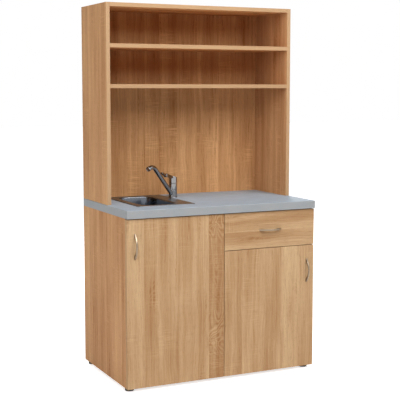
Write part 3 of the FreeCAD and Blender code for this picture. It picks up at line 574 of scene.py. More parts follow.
@functools.cache
def oak_group():
    """Printed oak: staves of varied tone, bands, streaks, rings, pores and saw marks, grain along Z."""
    tree, given, result = new_group(
        "saw_marked_oak",
        {"Vector": "Vector", "Light": "Color", "Dark": "Color", "Plank Width": "Float",
         "Saw Marks": "Float", "Figured Plank": "Float", "Figured Width": "Float",
         "Figured Height": "Float"},
        {"Color": "Color", "Roughness": "Float", "Height": "Float"})

    place_in = axes(given["Vector"])
    across = sums("DIVIDE", place_in["X"], given["Plank Width"])
    plank = wire("TexVoronoi", {"voronoi_dimensions": "1D"}, W=across, Scale=1.0, Randomness=0.8)
    plank = plank.outputs["Color"]
    offset = sums("ABSOLUTE", sums("SUBTRACT", place_in["X"], given["Figured Plank"]))
    figured = sums("LESS_THAN", offset, times(given["Figured Width"], 0.5))
    grain = vectors("MULTIPLY_ADD", plank, PLANK_JUMP, given["Vector"])
    grain = vectors("ADD", grain, times(figured, FIGURED_JUMP))
    sway = wire("CombineXYZ", X=sums("SUBTRACT", pattern("sway", grain), 0.5)).outputs[0]
    swayed = vectors("MULTIPLY_ADD", sway, SWAY_WIDTH, grain)

    field = pattern("field", grain, detail=1.0, distortion=0.5)
    rings = sums("SINE", times(field, RING_TURNS))
    rings = sums("MULTIPLY_ADD", rings, 0.5, 0.5)
    bands = pattern("bands", swayed, roughness=0.6)
    streaks = pattern("streaks", swayed, detail=3.0, roughness=0.6)
    fibres = pattern("fibres", swayed, detail=3.0)
    shadows = pattern("shadows", grain)
    flames = ranged(pattern("flames", swayed, detail=1.0), 0.62, 0.76)
    pores = ranged(pattern("pores", grain, detail=1.0), 0.6, 0.7)

    height = sums("SUBTRACT", place_in["Z"], given["Figured Height"])
    wave = sums("COSINE", times(height, FIGURE_TURNS))
    ring_share = times(figured, ranged(wave, 0.1, 0.9, *RING_SHARES))
    ring_share = sums("MULTIPLY_ADD", flames, 0.25, ring_share)
    tone = MEAN_TONE
    for source, amount in ((bands, 0.65), (streaks, 0.65), (fibres, 0.7), (shadows, 1.1),
                           (rings, ring_share)):
        tone = swung(source, amount, tone)
    tone = sums("MULTIPLY_ADD", flames, -0.24, tone)
    tone = swung(axes(plank)["X"], 0.2, tone)
    tone = sums("MULTIPLY_ADD", figured, -0.46, tone)
    body = blended(tone, given["Dark"], given["Light"])
    deep = tinted(given["Dark"], PORE_TINT)
    body = blended(times(pores, 0.5), body, deep)

    patch = ranged(pattern("patches", grain, detail=1.0), 0.52, 0.72)
    patch = sums("MAXIMUM", patch, times(figured, 0.5))
    lines = ranged(pattern("saw_lines", grain), 0.5, 0.64)
    saw = times(times(patch, lines), given["Saw Marks"])
    pale = tinted(given["Light"], SAW_TINT)
    rough = sums("MULTIPLY_ADD", fibres, 0.16, 0.5)
    dips = sums("ADD", times(pores, -0.7), times(saw, -0.5))
    feed(result, Color=blended(saw, body, pale),
         Roughness=sums("MULTIPLY_ADD", pores, 0.1, rough),
         Height=sums("MULTIPLY_ADD", fibres, 0.3, dips))
    return tree


@functools.cache
def chip_group():
    """Raw chipboard: pale and dark chips pressed together."""
    tree, given, result = new_group(
        "raw_chipboard", {"Vector": "Vector", "Chip": "Color"}, {"Color": "Color", "Height": "Float"})
    chips = wire("TexVoronoi", Vector=given["Vector"], Scale=420.0).outputs
    tone = axes(chips["Color"])["X"]
    dust = noise(given["Vector"], 1500.0, 3.0)
    dark = tinted(given["Chip"], CHIP_TINT)
    feed(result, Color=blended(ranged(tone, 0.1, 0.9, 0.0, 0.6), given["Chip"], dark),
         Height=sums("ADD", tone, dust))
    return tree


@functools.cache
def wear_group():
    """Faint smudges and hairlines that break up a smooth surface's gloss."""
    tree, given, result = new_group(
        "faint_wear", {"Vector": "Vector", "Base": "Float", "Spread": "Float"},
        {"Roughness": "Float", "Height": "Float"})
    smudge = noise(given["Vector"], 45.0, 4.0, 0.6)
    value = swung(smudge, given["Spread"], given["Base"])
    feed(result, Roughness=sums("MAXIMUM", value, 0.02),
         Height=noise(given["Vector"], 900.0))
    return tree


@functools.cache
def brushed_group():
    """Fine lines left by brushing along Y."""
    tree, given, result = new_group(
        "brushed_lines", {"Vector": "Vector", "Base": "Float", "Spread": "Float"},
        {"Tone": "Float", "Roughness": "Float", "Height": "Float"})
    lines = noise(vectors("MULTIPLY", given["Vector"], BRUSH_SCALES))
    cloud = noise(given["Vector"], 30.0, 3.0)
    mixed = sums("ADD", times(lines, 0.6), times(cloud, 0.4))
    feed(result, Tone=mixed, Roughness=swung(mixed, given["Spread"], given["Base"]),
         Height=lines)
    return tree


# Finishes

# Each row gives one axis of the decor: across the grain, through the board, along the grain.
GRAIN_TURNS = {
    "front": ((1, 0, 0), (0, 1, 0), (0, 0, 1)),
    "side": ((0, 1, 0), (-1, 0, 0), (0, 0, 1)),
    "shelf": ((0, 1, 0), (0, 0, 1), (1, 0, 0)),
    "crosswise": ((0, 0, 1), (0, -1, 0), (1, 0, 0)),
}
# Step from one board's place in the print to the next one's.
SAMPLE_STEP = (0.413, 0.271, 1.37)
EDGING_SHARE = 0.75


def decor(name, turn, sample, tones, bare, figured, sawn):
    """Oak decor for one board, from its own place in the print, with a bare face or edge at its back."""
    settings = bpy.context.scene.kitchen_boards
    light, dark = tones
    middle, width, figure = figured
    shift = [sample * step for step in SAMPLE_STEP]
    material, shader, coordinates = new_material(name)
    mapping = wire("Mapping", Vector=coordinates["Object"], Location=shift,
                   Rotation=Matrix(GRAIN_TURNS[turn]).to_euler())
    oak = use_group(oak_group(), Vector=mapping.outputs[0], Light=(*light, 1), Dark=(*dark, 1),
                    Plank_Width=settings.plank, Saw_Marks=settings.saw_marks * sawn,
                    Figured_Plank=middle + shift[0], Figured_Width=width,
                    Figured_Height=figure + shift[2])
    skin, height = oak["Color"], oak["Height"]
    facing = axes(coordinates["Normal"])["Y"]
    if turn in ("side", "shelf"):
        edge = times(sums("LESS_THAN", facing, -FACING), EDGING_SHARE)
        skin = blended(edge, skin, settings.edging)
    if bare is not None:
        back = sums("GREATER_THAN", facing, FACING)
        chip = use_group(chip_group(), Vector=coordinates["Object"], Chip=(*bare, 1))
        skin = blended(back, skin, chip["Color"])
        height = sums("ADD", height, times(back, chip["Height"]))
    feed(shader.inputs, Base_Color=skin, Roughness=oak["Roughness"], Specular_IOR_Level=settings.gloss)
    bump(shader, height, settings.relief, BOARD_RELIEF)
    return material


def metal(name, tint, base, spread):
    """Polished or satin metal with faint wear."""
    material, shader, coordinates = new_material(name)
    lines = use_group(wear_group(), Vector=coordinates["Object"], Base=base, Spread=spread)
    feed(shader.inputs, Base_Color=(*tint, 1), Metallic=1.0, Roughness=lines["Roughness"])
    bump(shader, lines["Height"], METAL_RELIEF, FINE_RELIEF)
    return material


def brushed_metal(name, tint, base, spread, relief=0.03, depth=None):
    """Brushed metal; depth gives the darker tint of a polished bowl's painted shade and the heights where
    it starts and is full.
    """
    material, shader, coordinates = new_material(name)
    lines = use_group(brushed_group(), Vector=coordinates["Object"], Base=base, Spread=spread)
    rough = lines["Roughness"]
    skin = blended(lines["Tone"], darker(tint, BRUSH_DARK), tint)
    if depth:
        bowl, rim, full = depth
        height = axes(coordinates["Object"])["Z"]
        # Painted shade: the tint darkens towards the bowl's depth; the lower roughness below the rim is
        # the bowl's polish.
        skin = blended(ranged(height, rim, full), skin, bowl)
        rough = times(rough, ranged(height, rim, rim - POLISH_FALL, 1.0, POLISHED))
    feed(shader.inputs, Base_Color=skin, Metallic=1.0, Roughness=rough)
    bump(shader, lines["Height"], relief, FINE_RELIEF)
    return material


def plastic(name, tint, base=0.35, spread=0.12, relief=0.08, mottle=0.08):
    """Moulded plastic, rubber or a coated board with a fine grain."""
    material, shader, coordinates = new_material(name)
    wear = use_group(wear_group(), Vector=coordinates["Object"], Base=base, Spread=spread)
    cloud = ranged(noise(coordinates["Object"], 25.0, 3.0), 0.35, 0.65)
    feed(shader.inputs, Base_Color=blended(cloud, darker(tint, 1 - mottle), tint),
         Roughness=wear["Roughness"])
    bump(shader, wear["Height"], relief, FINE_RELIEF)
    return material


@functools.cache
def chrome():
    return metal("polished_chrome", bpy.context.scene.kitchen_tap.chrome, 0.07, 0.06)


@functools.cache
def zinc():
    return brushed_metal("zinc_plated_steel", shade(176, 178, 182), 0.3, 0.16, 0.05)


@functools.cache
def white_plastic():
    return plastic("white_plastic", shade(228, 228, 224))


# Operators, one for each piece or group of like pieces

class KITCHEN_OT_boards(bpy.types.Operator):
    """Give every board its own piece of the oak decor, with bare fibreboard and chipboard at the back"""
    bl_idname = "kitchen.boards"
    bl_label = "Decor Boards"

    # Middle and width of the figured stave, and the height of its figure.
    FIGURED = {"left_door": (-0.042, 0.080, 0.24)}
    PLAIN = (0.0, 0.0, 0.0)

    def execute(self, context):
        settings = context.scene.kitchen_boards
        chip, fibre = settings.chip, settings.fibre
        fronts = (settings.light, settings.dark)
        sides = (settings.side_light, settings.side_dark)
        # The inside boards take the tones that carry painted light and shade, fitted to the reddish shade
        # within the unit.
        inside = (settings.inner_light, settings.inner_dark)
        rows = (
            ("base_left_side base_right_side", "side", sides, chip, 1.5),
            ("base_partition", "side", inside, chip, 1.5),
            ("upper_left_side upper_right_side", "side", sides, chip, 1.5),
            ("base_back", "front", inside, fibre, 1.0),
            ("upper_back", "front", inside, fibre, 2.0),
            ("base_bottom base_shelf low_shelf high_shelf top_board", "shelf", inside, chip, 1.0),
            ("top_rails drawer_rail", "shelf", inside, None, 1.0),
            ("drawer_front", "crosswise", fronts, None, 1.0),
            ("left_door right_door", "front", fronts, None, 1.0))
        boards = [(node, *look) for nodes, *look in rows for node in nodes.split()]
        for sample, (node, turn, tones, bare, sawn) in enumerate(boards, 1):
            figured = self.FIGURED.get(node, self.PLAIN)
            dress(decor("oak_" + node, turn, sample, tones, bare, figured, sawn), node)
        return {"FINISHED"}


class KITCHEN_OT_worktop(bpy.types.Operator):
    """Give the worktop its finely flecked laminate, paper underside and raw rear edge"""
    bl_idname = "kitchen.worktop"
    bl_label = "Worktop"

    def execute(self, context):
        settings, chip_tint = context.scene.kitchen_worktop, context.scene.kitchen_boards.chip
        material, shader, coordinates = new_material("flecked_laminate")
        place_in = coordinates["Object"]
        facing = axes(coordinates["Normal"])
        cloud = noise(place_in, 14.0, 4.0)
        flecks = noise(place_in, 700.0, 3.0, 0.7)
        chip = use_group(chip_group(), Vector=place_in, Chip=(*chip_tint, 1))
        # Painted shade: the upright faces take the darker edge tone and the top the laminate tone, chosen
        # by which way each face looks.
        skin = blended(sums("GREATER_THAN", facing["Z"], FACING), settings.edge, settings.base)
        for mask, tone in (
                (ranged(cloud, 0.35, 0.65, 0.0, 0.25), settings.fleck),
                (ranged(flecks, 0.5, 0.68, 0.0, 0.55), settings.fleck),
                (sums("GREATER_THAN", facing["Y"], FACING), chip["Color"]),
                (sums("LESS_THAN", facing["Z"], -FACING), settings.backing)):
            skin = blended(mask, skin, tone)
        feed(shader.inputs, Base_Color=skin, Specular_IOR_Level=settings.gloss,
             Roughness=sums("MULTIPLY_ADD", flecks, 0.18, 0.38))
        bump(shader, noise(place_in, 1400.0), 0.12, BOARD_RELIEF)
        dress(material, "worktop")
        return {"FINISHED"}


class KITCHEN_OT_sink(bpy.types.Operator):
    """Draw the inset sink from one sheet: raised rim, ledges, rounded lip and tapered bowl"""
    bl_idname = "kitchen.sink"
    bl_label = "Sink"

    # Inset and rise of each step from the sheet's edge, over the rim's crest, down to the ledges.
    RIM = ((0.0009, 0.0016), (0.0013, 0.0009), (0.002, 0.0003), (0.004, 0.0), (0.002, -0.0004),
           (0.002, -0.0008))
    CORNER_STEPS = 10
    ARC_STEPS = 5
    # Depths below the deck where the polish and the bowl's painted shade start, and where the painted
    # shade is full.
    POLISH_AND_SHADE_DEPTH = (0.002, 0.05)

    def execute(self, context):
        settings = context.scene.kitchen_sink
        low, high = SINK_LOW, SINK_HIGH
        sheet_top = WORKTOP_TOP + settings.sheet
        deck = sheet_top + sum(rise for inset, rise in self.RIM)
        bpy.ops.mesh.primitive_plane_add(
            size=1, location=((low.x + high.x) / 2, (low.y + high.y) / 2, sheet_top))
        bpy.context.object.scale = (high.x - low.x, high.y - low.y, 1)
        sink = settle("sink_bowl")
        select()
        bpy.ops.mesh.bevel(offset=settings.corner, segments=self.CORNER_STEPS, affect="VERTICES")
        self.terrace(self.RIM)
        self.open_bowl(sink, settings, deck)
        self.bridge(sink, deck)
        clean()
        leave_edit()
        modify(sink, "SOLIDIFY", thickness=settings.sheet, offset=-1.0)
        # The bowl's darker tint is painted shade, full deep down.
        start, full = self.POLISH_AND_SHADE_DEPTH
        steel = brushed_metal("drawn_stainless", settings.steel, 0.34, 0.12,
                              depth=(settings.bowl, deck - start, deck - full))
        finished(sink, "cabinet", "stainless", steel, "sink", smooth=28)
        return {"FINISHED"}

    def terrace(self, steps):
        """Steps the selected face inwards and up or down, ring by ring, and opens it."""
        for inset, rise in steps:
            bpy.ops.mesh.inset(thickness=inset, use_even_offset=True)
            lifted(rise)
        bpy.ops.mesh.delete(type="ONLY_FACE")

    def bridge(self, sink, level):
        """Joins the two open outlines at one height."""
        pick(sink, "edges", lambda middle, border: border and abs(middle.z - level) < ON_LEVEL)
        bpy.ops.mesh.bridge_edge_loops()

    def open_bowl(self, sink, settings, deck):
        """Bowl drawn down from its own rounded outline, with its floor open for the waste."""
        lip, radius = settings.lip, settings.floor_radius
        x = (SINK_LOW.x + settings.left - lip, SINK_HIGH.x - settings.right + lip)
        y = (SINK_LOW.y + settings.front - lip, SINK_HIGH.y - settings.rear + lip)
        middle = (sum(x) / 2, sum(y) / 2, deck)
        select("DESELECT")
        bpy.ops.mesh.primitive_plane_add(size=1, location=middle)
        bpy.ops.transform.resize(value=(x[1] - x[0], y[1] - y[0], 1), center_override=middle)
        bpy.ops.mesh.bevel(offset=settings.bowl_corner + lip, segments=self.CORNER_STEPS,
                           affect="VERTICES")
        arc = [math.pi / 2 * step / self.ARC_STEPS for step in range(self.ARC_STEPS + 1)]
        floor = SINK_HIGH.z - settings.depth
        foot = lip + settings.taper
        path = [(lip * math.sin(turn), deck - lip * (1 - math.cos(turn))) for turn in arc]
        path += [(foot + radius * (1 - math.cos(turn)), floor + radius * (1 - math.sin(turn)))
                 for turn in arc]
        self.terrace([(inset - before, height - level)
                      for (before, level), (inset, height) in zip(path, path[1:])])
        select("DESELECT")
        bpy.ops.mesh.primitive_circle_add(vertices=44, radius=settings.waste, fill_type="NOTHING",
                                          location=(*middle[:2], floor))
        self.bridge(sink, floor)


class KITCHEN_OT_waste(bpy.types.Operator):
    """Finish the waste's flange and the perforated strainer plug"""
    bl_idname = "kitchen.waste"
    bl_label = "Waste and Strainer"

    def execute(self, context):
        steel = brushed_metal("brushed_stainless", shade(166, 168, 172), 0.2, 0.12)
        refine("waste_flange", "waste_flange_ring", 0.0004, "stainless", steel)
        refine("strainer_plug", "strainer_basket_plug", 0.0005, "stainless", steel)
        return {"FINISHED"}


class KITCHEN_OT_tap(bpy.types.Operator):
    """Model the single lever tap: body, swivelling spout, aerator and lever"""
    bl_idname = "kitchen.tap"
    bl_label = "Tap"

    # Heights above the worktop of the joints between foot, spout collar, column and lever cap.
    FOOT_TOP, COLLAR_TOP, COLUMN_TOP, CAP_LOW, CAP_TOP = 0.004, 0.040, 0.071, 0.0724, 0.125
    COLLAR_GAPS = (0.0004, 0.0014)
    CORE_GAP = 0.0001
    RECESS = 0.0005
    SPOUT_START = (0.016, 0, 0.0234)
    SPOUT_END = 0.010
    CAP_WALL, CAVITY = 0.003, (0.06, 0.091)
    CAP_SLOPE, CAP_BACK = 0.0285 / 0.0895, 0.099
    HINGE_LINE = 0.0135
    TIP = math.radians(20)
    ROUND_STEPS = 64
    AERATOR = ((0, -0.002), (0.0120, -0.002), (0.0120, 0.0085), (0.0112, 0.010), (0.0092, 0.010),
               (0.0092, 0.0082), (0, 0.0082))
    # The arm's corners, its taper, how far its ends are moved up, and the step, end and size of its tab.
    ARM = ((0.0, -0.014, 0.095), (0.068, 0.014, 0.1275))
    ARM_TAPER, ARM_RISES = 0.0105 / 0.014, (0.013, -0.0222)
    TAB_INSET, TAB_STEP = 0.0028, (0.036, 0, 0.0135)
    TAB_END, TAB_SIZE = (0.104, 0, 0.1328), (1, 0.98, 0.48)

    def execute(self, context):
        self.settings = context.scene.kitchen_tap
        self.make_body()
        self.make_spout()
        self.make_aerator()
        self.make_lever()
        dress(chrome(), "lever_pin")
        return {"FINISHED"}

    def stand(self, piece, body, *nodes):
        place(piece, (*TAP_AXIS[:2], WORKTOP_TOP), (0, 0, self.settings.heading))
        finished(piece, body, "chrome", chrome(), *nodes, smooth=30)

    def make_body(self):
        radius, core = self.settings.radius, self.settings.core
        flange, dish = radius + 0.001, self.COLUMN_TOP - self.RECESS
        body = turned("tap_column", [
            (0, 0), (flange, 0), (flange, 0.0028), (radius, self.FOOT_TOP), (core, self.FOOT_TOP),
            (core, self.COLLAR_TOP), (radius, self.COLLAR_TOP), (radius, self.COLUMN_TOP),
            (core, self.COLUMN_TOP), (core, dish), (0, dish)], self.ROUND_STEPS)
        soften(body, 0.0006)
        self.stand(body, "cabinet", "tap_body")

    def make_spout(self):
        bore = self.settings.core + self.CORE_GAP
        below, above = self.COLLAR_GAPS
        low, high = self.FOOT_TOP + below, self.COLLAR_TOP - above
        profile = wall(bore, self.settings.radius, low, high)
        collar = turned("tap_spout_pipe", profile + profile[:1], self.ROUND_STEPS)
        soften(collar, 0.0008)
        combined(collar, self.pipe(), "UNION")
        self.stand(collar, "tap_spout", "tap_spout")

    def route(self):
        """Start of the straight run, and start, centre and end of the bend, in the tap's frame."""
        settings = self.settings
        start = Vector(self.SPOUT_START)
        bend_z = settings.peak - settings.bend * (1 - math.cos(settings.rise))
        bend_x = start.x + (bend_z - start.z) / math.tan(settings.rise)
        centre = Vector((bend_x + settings.bend * math.sin(settings.rise), 0,
                         bend_z - settings.bend * math.cos(settings.rise)))
        end = centre + Vector((math.sin(settings.drop), 0, math.cos(settings.drop))) * settings.bend
        return start, Vector((bend_x, 0, bend_z)), centre, end

    def outlet(self):
        """Step from the end of the spout's bend to its mouth."""
        drop = self.settings.drop
        return Vector((math.cos(drop), 0, -math.sin(drop))) * self.SPOUT_END

    def pipe(self):
        settings = self.settings
        start, bend, centre, end = self.route()
        bpy.ops.mesh.primitive_circle_add(vertices=32, radius=settings.pipe, fill_type="NGON",
                                          location=start, rotation=(0, math.pi / 2 - settings.rise, 0))
        pipe = settle("pipe")
        select()
        extruded(bend - start)
        bpy.ops.mesh.spin(steps=20, angle=-settings.rise - settings.drop, center=centre, axis=(0, 1, 0))
        extruded(self.outlet())
        clean()
        leave_edit()
        return pipe

    def make_aerator(self):
        ring = turned("tap_aerator", self.AERATOR)
        soften(ring, 0.0004)
        place(ring, self.route()[3] + self.outlet(), (0, math.pi / 2 + self.settings.drop, 0))
        self.stand(ring, "tap_spout", "aerator")

    def make_lever(self):
        radius = self.settings.radius
        profile = wall(0, radius, self.CAP_LOW, self.CAP_TOP)
        cap = turned("tap_lever_handle", profile, self.ROUND_STEPS)
        open_mesh(cap)
        bpy.ops.mesh.bisect(plane_co=(-radius, 0, self.CAP_BACK), plane_no=(-self.CAP_SLOPE, 0, 1),
                            use_fill=True, clear_outer=True)
        leave_edit()
        soften(cap, 0.002, 4)
        self.hollow(cap, radius)
        combined(cap, self.arm(), "UNION")
        self.stand(cap, "tap_lever", "tap_lever")

    def arm(self):
        """Tapered arm with a narrower finger tab, rising from the cap."""
        low, high = self.ARM
        tip_rise, root_rise = self.ARM_RISES
        arm = block("arm", low, high)
        pick(arm, "verts", lambda point: point.x > 0.06)
        bpy.ops.transform.resize(value=(1, self.ARM_TAPER, 1), center_override=(high[0], 0, high[2]))
        pick(arm, "verts", lambda point: point.x > 0.06 and point.z < 0.1)
        lifted(tip_rise)
        pick(arm, "verts", lambda point: point.x < 0.01 and point.z > 0.1)
        lifted(root_rise)
        pick(arm, "faces", lambda middle, normal: normal.x > FACING)
        bpy.ops.mesh.inset(thickness=self.TAB_INSET)
        extruded(self.TAB_STEP)
        bpy.ops.transform.resize(value=self.TAB_SIZE, center_override=self.TAB_END)
        leave_edit()
        soften(arm, 0.0013, 4)
        return arm

    def hollow(self, cap, radius):
        """Cuts the wedge under the back of the cap that lets it tip, and the room for the stem."""
        back, low = radius + 0.005, self.CAP_LOW - 0.01
        wedge = block("wedge", (-back, -back, low), (-self.HINGE_LINE, back, self.CAP_LOW))
        pick(wedge, "verts", lambda point: point.x < -0.02 and point.z > 0.07)
        lifted((back - self.HINGE_LINE) * math.tan(self.TIP))
        leave_edit()
        combined(cap, wedge, "DIFFERENCE")
        cavity = turned("cavity", wall(0, radius - self.CAP_WALL, *self.CAVITY))
        combined(cap, cavity, "DIFFERENCE")


class KITCHEN_OT_handles(bpy.types.Operator):
    """Model one bow handle and copy it to both doors and the drawer"""
    bl_idname = "kitchen.handles"
    bl_label = "Handles"

    ARC_STEPS = 28

    def execute(self, context):
        settings = context.scene.kitchen_handles
        nickel = metal("satin_nickel", settings.nickel, 0.3, 0.08)
        bow = self.bow(settings)
        for owner, upright in (("left_door", True), ("right_door", True), ("drawer", False)):
            low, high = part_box(owner + "_handle")
            handle = duplicate(bow, owner + "_bow_handle")
            middle = (low + high) / 2
            place(handle, (middle.x, high.y, middle.z), (0, math.pi / 2 if upright else 0, 0))
            finished(handle, owner, "chrome", nickel, owner + "_handle", smooth=40)
        bpy.data.objects.remove(bow)
        return {"FINISHED"}

    def bow(self, settings):
        half, inner = settings.length / 2, settings.length / 2 - settings.foot
        outer_path = self.arc_points(half, -settings.toe, -settings.projection)
        inner_path = self.arc_points(inner, 0.0, settings.thickness - settings.projection)
        outline = outer_path + [Vector((half, 0, 0))] + inner_path[::-1] + [Vector((-half, 0, 0))]
        bow = drawn("bow", outline + outline[:1])
        bpy.ops.mesh.remove_doubles(threshold=SAME_POINT)
        bpy.ops.mesh.edge_face_add()
        lifted(-settings.width / 2)
        extruded((0, 0, settings.width))
        clean()
        leave_edit()
        soften(bow, 0.0022, 4, 60)
        return bow

    def arc_points(self, half, base, crown):
        """Points along the arc through the two ends and the crown, in the plane of the bow."""
        rise = abs(crown - base)
        radius = (half * half + rise * rise) / (2 * rise)
        sweep = math.asin(half / radius) if rise < radius else math.pi - math.asin(half / radius)
        turns = [sweep * (2 * step / self.ARC_STEPS - 1) for step in range(self.ARC_STEPS + 1)]
        return [Vector((radius * math.sin(turn), crown + radius * (1 - math.cos(turn)), 0))
                for turn in turns]


class KITCHEN_OT_hinges(bpy.types.Operator):
    """Finish the concealed hinges: cups, arms and mounting plates"""
    bl_idname = "kitchen.hinges"
    bl_label = "Hinges"

    def execute(self, context):
        for node, width in (("left_door_hinge_cups", 0.0004), ("right_door_hinge_cups", 0.0004),
                            ("hinge_arms", 0.0008)):
            refine(node, node + "_pressed", width, "zinc_steel", zinc())
        return {"FINISHED"}


class KITCHEN_OT_drawer(bpy.types.Operator):
    """Finish the drawer box and its runners"""
    bl_idname = "kitchen.drawer"
    bl_label = "Drawer and Runners"

    def execute(self, context):
        tint = context.scene.kitchen_boards.drawer_board
        board = plastic("smooth_white_board", tint, 0.4, 0.1, 0.05, 0.03)
        dress(board, "drawer_left_side", "drawer_right_side", "drawer_back", "drawer_floor")
        for node in ("runner_fixed_members", "runner_middle_members", "runner_drawer_members"):
            refine(node, node + "_rolled", 0.0003, "zinc_steel", zinc())
        return {"FINISHED"}


class KITCHEN_OT_feet(bpy.types.Operator):
    """Model one fluted levelling foot and copy it under each corner"""
    bl_idname = "kitchen.feet"
    bl_label = "Feet"

    RADIUS, STEM, HEIGHT = 0.0215, 0.0150, 0.010
    FLUTES = {"low": 0.002, "high": 0.008, "radius": 0.021, "depth": 0.0009, "edge": 0.4}

    def execute(self, context):
        low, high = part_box("feet")
        radius, stem, height = self.RADIUS, self.STEM, self.HEIGHT
        foot = turned("foot", [(0, 0), (radius - 0.001, 0), (radius, 0.0012), (radius, height - 0.0015),
                               (radius - 0.0017, height), (stem, height), (stem, high.z), (0, high.z)])
        fluted(foot, **self.FLUTES)
        copies = [place(duplicate(foot, "foot_copy"), (x, y, 0))
                  for x in (low.x + radius, high.x - radius) for y in (low.y + radius, high.y - radius)]
        bpy.data.objects.remove(foot)
        rubber = plastic("black_plastic", shade(28, 28, 30), 0.5)
        finished(joined("levelling_feet", copies), "cabinet", "black_plastic", rubber, "feet")
        return {"FINISHED"}


class KITCHEN_OT_trap(bpy.types.Operator):
    """Finish the bottle trap, its pipes and its nuts"""
    bl_idname = "kitchen.trap"
    bl_label = "Bottle Trap"

    def execute(self, context):
        for node in ("trap_inlet_pipe", "trap_body", "trap_cup", "waste_nuts", "trap_outlet_pipe"):
            refine(node, node + "_moulded", 0.0006, "white_plastic", white_plastic())
        return {"FINISHED"}


class KITCHEN_OT_fittings(bpy.types.Operator):
    """Finish screws, pins, plates, clips, seal, dowels and the tap's parts under the worktop"""
    bl_idname = "kitchen.fittings"
    bl_label = "Small Fittings"

    PLATED = ("cabinet_screws", "left_door_handle_screws", "right_door_handle_screws",
              "drawer_handle_screws", "foot_studs", "shelf_pins", "wall_plates", "sink_clips")

    def execute(self, context):
        for node in self.PLATED:
            refine(node, node + "_plated", 0.0003, "zinc_steel", zinc())
        dress(zinc(), "tap_stem", "tap_fixing")
        dress(metal("turned_brass", shade(205, 170, 98), 0.22, 0.1), "tap_inlets")
        dress(white_plastic(), "tap_cartridge")
        dress(plastic("foam_seal", shade(60, 60, 62), 0.8, 0.1, 0.3), "sink_seal")
        dress(plastic("beech_dowel", shade(208, 176, 128), 0.6, 0.1, 0.2), "dowels")
        return {"FINISHED"}


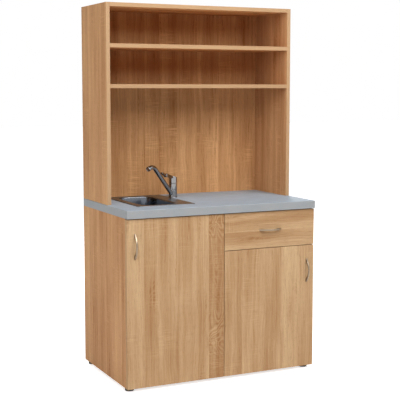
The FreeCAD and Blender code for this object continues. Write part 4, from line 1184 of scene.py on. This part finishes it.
class KITCHEN_OT_stage(bpy.types.Operator):
    """Set up the pale floor, the soft studio lights and the camera"""
    bl_idname = "kitchen.stage"
    bl_label = "Stage"

    # Place and size of each light; all of them aim at the unit's middle.
    LIGHTS = {"key": ((1.5, -4.4, 4.3), 3.0), "front": ((-2.2, -4.2, 3.8), 3.0),
              "fill": ((-4.2, -1.5, 2.2), 2.6), "top": ((0.2, -1.6, 4.4), 2.6),
              "back": ((1.4, 4.6, 2.8), 3.0)}
    AIM = Vector((0, 0, 0.9))
    CAMERA_PLACE = (-2.1365, -4.447, 1.4053)
    CAMERA_YAW, CAMERA_PITCH = math.radians(25.726), math.radians(5.751)
    CAMERA_SHIFT = -0.03
    FLOOR_SIZE = 60
    FLOOR_DARK = 0.985
    GLOW_REACH = (1.2, 4.0)
    WHITE = (1, 1, 1, 1)

    def execute(self, context):
        settings = context.scene.kitchen_stage
        self.make_floor(settings)
        self.make_world(context, settings)
        for name, (location, size) in self.LIGHTS.items():
            self.make_light(name + "_light", location, getattr(settings, name), size)
        self.make_camera(context, settings)
        context.scene.view_settings.view_transform = "Standard"
        return {"FINISHED"}

    def make_floor(self, settings):
        bpy.ops.mesh.primitive_plane_add(size=self.FLOOR_SIZE)
        floor = bpy.context.object
        floor.name = "floor"
        material, shader, coordinates = new_material("pale_floor")
        cloud = noise(coordinates["Object"], 3.0, 3.0)
        reach = wire("VectorMath", {"operation": "LENGTH"}, Vector=coordinates["Object"])
        glow = ranged(reach.outputs["Value"], *self.GLOW_REACH, settings.glow, 1.0)
        feed(shader.inputs, Roughness=0.8, Emission_Color=self.WHITE,
             Base_Color=blended(cloud, darker(settings.floor, self.FLOOR_DARK), settings.floor),
             Emission_Strength=times(shown_rays(material.node_tree), glow))
        floor.data.materials.append(material)

    def make_world(self, context, settings):
        world = bpy.data.worlds.new("studio")
        context.scene.world = world
        world.use_nodes = True
        tree = world.node_tree
        tree.nodes.clear()
        mixed = wire("MixShader", Fac=shown_rays(tree))
        for socket, strength in ((mixed.inputs[1], settings.ambient), (mixed.inputs[2], 1.0)):
            light = added(tree, "Background", Color=self.WHITE, Strength=strength)
            put(socket, light.outputs[0])
        wire("OutputWorld", Surface=mixed.outputs[0])

    def make_light(self, name, location, energy, size):
        bpy.ops.object.light_add(type="AREA", location=location)
        light = bpy.context.object
        light.name = name
        light.data.energy = energy
        light.data.size = size
        light.rotation_euler = (self.AIM - Vector(location)).to_track_quat("-Z", "Y").to_euler()

    def make_camera(self, context, settings):
        bpy.ops.object.camera_add(location=self.CAMERA_PLACE,
                                  rotation=(math.pi / 2 - self.CAMERA_PITCH, 0, -self.CAMERA_YAW))
        camera = bpy.context.object
        camera.name = "camera"
        camera.data.lens = settings.lens * 1000
        camera.data.sensor_width = 36
        camera.data.shift_y = self.CAMERA_SHIFT
        context.scene.camera = camera


class KITCHEN_PT_panel(bpy.types.Panel):
    """Lists the unit's pieces in the sidebar"""
    bl_idname = "KITCHEN_PT_panel"
    bl_label = "Kitchenette"
    bl_space_type = "VIEW_3D"
    bl_region_type = "UI"
    bl_category = "Kitchenette"

    def draw(self, context):
        for operator in PIECES:
            self.layout.operator(operator.bl_idname)
        for name, group in GROUPS.items():
            section = self.layout.box()
            section.label(text=name.replace("_", " ").title())
            for key in group.__annotations__:
                section.prop(getattr(context.scene, name), key)


GROUPS = {"kitchen_boards": KitchenBoards, "kitchen_worktop": KitchenWorktop,
          "kitchen_sink": KitchenSink, "kitchen_tap": KitchenTap, "kitchen_handles": KitchenHandles,
          "kitchen_stage": KitchenStage}
PIECES = (KITCHEN_OT_stage, KITCHEN_OT_boards, KITCHEN_OT_worktop, KITCHEN_OT_sink, KITCHEN_OT_waste,
          KITCHEN_OT_tap, KITCHEN_OT_handles, KITCHEN_OT_hinges, KITCHEN_OT_drawer, KITCHEN_OT_feet,
          KITCHEN_OT_trap, KITCHEN_OT_fittings)


def register():
    for group in (*GROUPS.values(), *PIECES, KITCHEN_PT_panel):
        bpy.utils.register_class(group)
    for name, group in GROUPS.items():
        setattr(bpy.types.Scene, name, PointerProperty(type=group))


def unregister():
    for name in GROUPS:
        delattr(bpy.types.Scene, name)
    for group in reversed((*GROUPS.values(), *PIECES, KITCHEN_PT_panel)):
        bpy.utils.unregister_class(group)


def main():
    register()
    for operator in PIECES:
        prefix, name = operator.bl_idname.split(".")
        getattr(getattr(bpy.ops, prefix), name)()


if __name__ == "__main__":
    main()
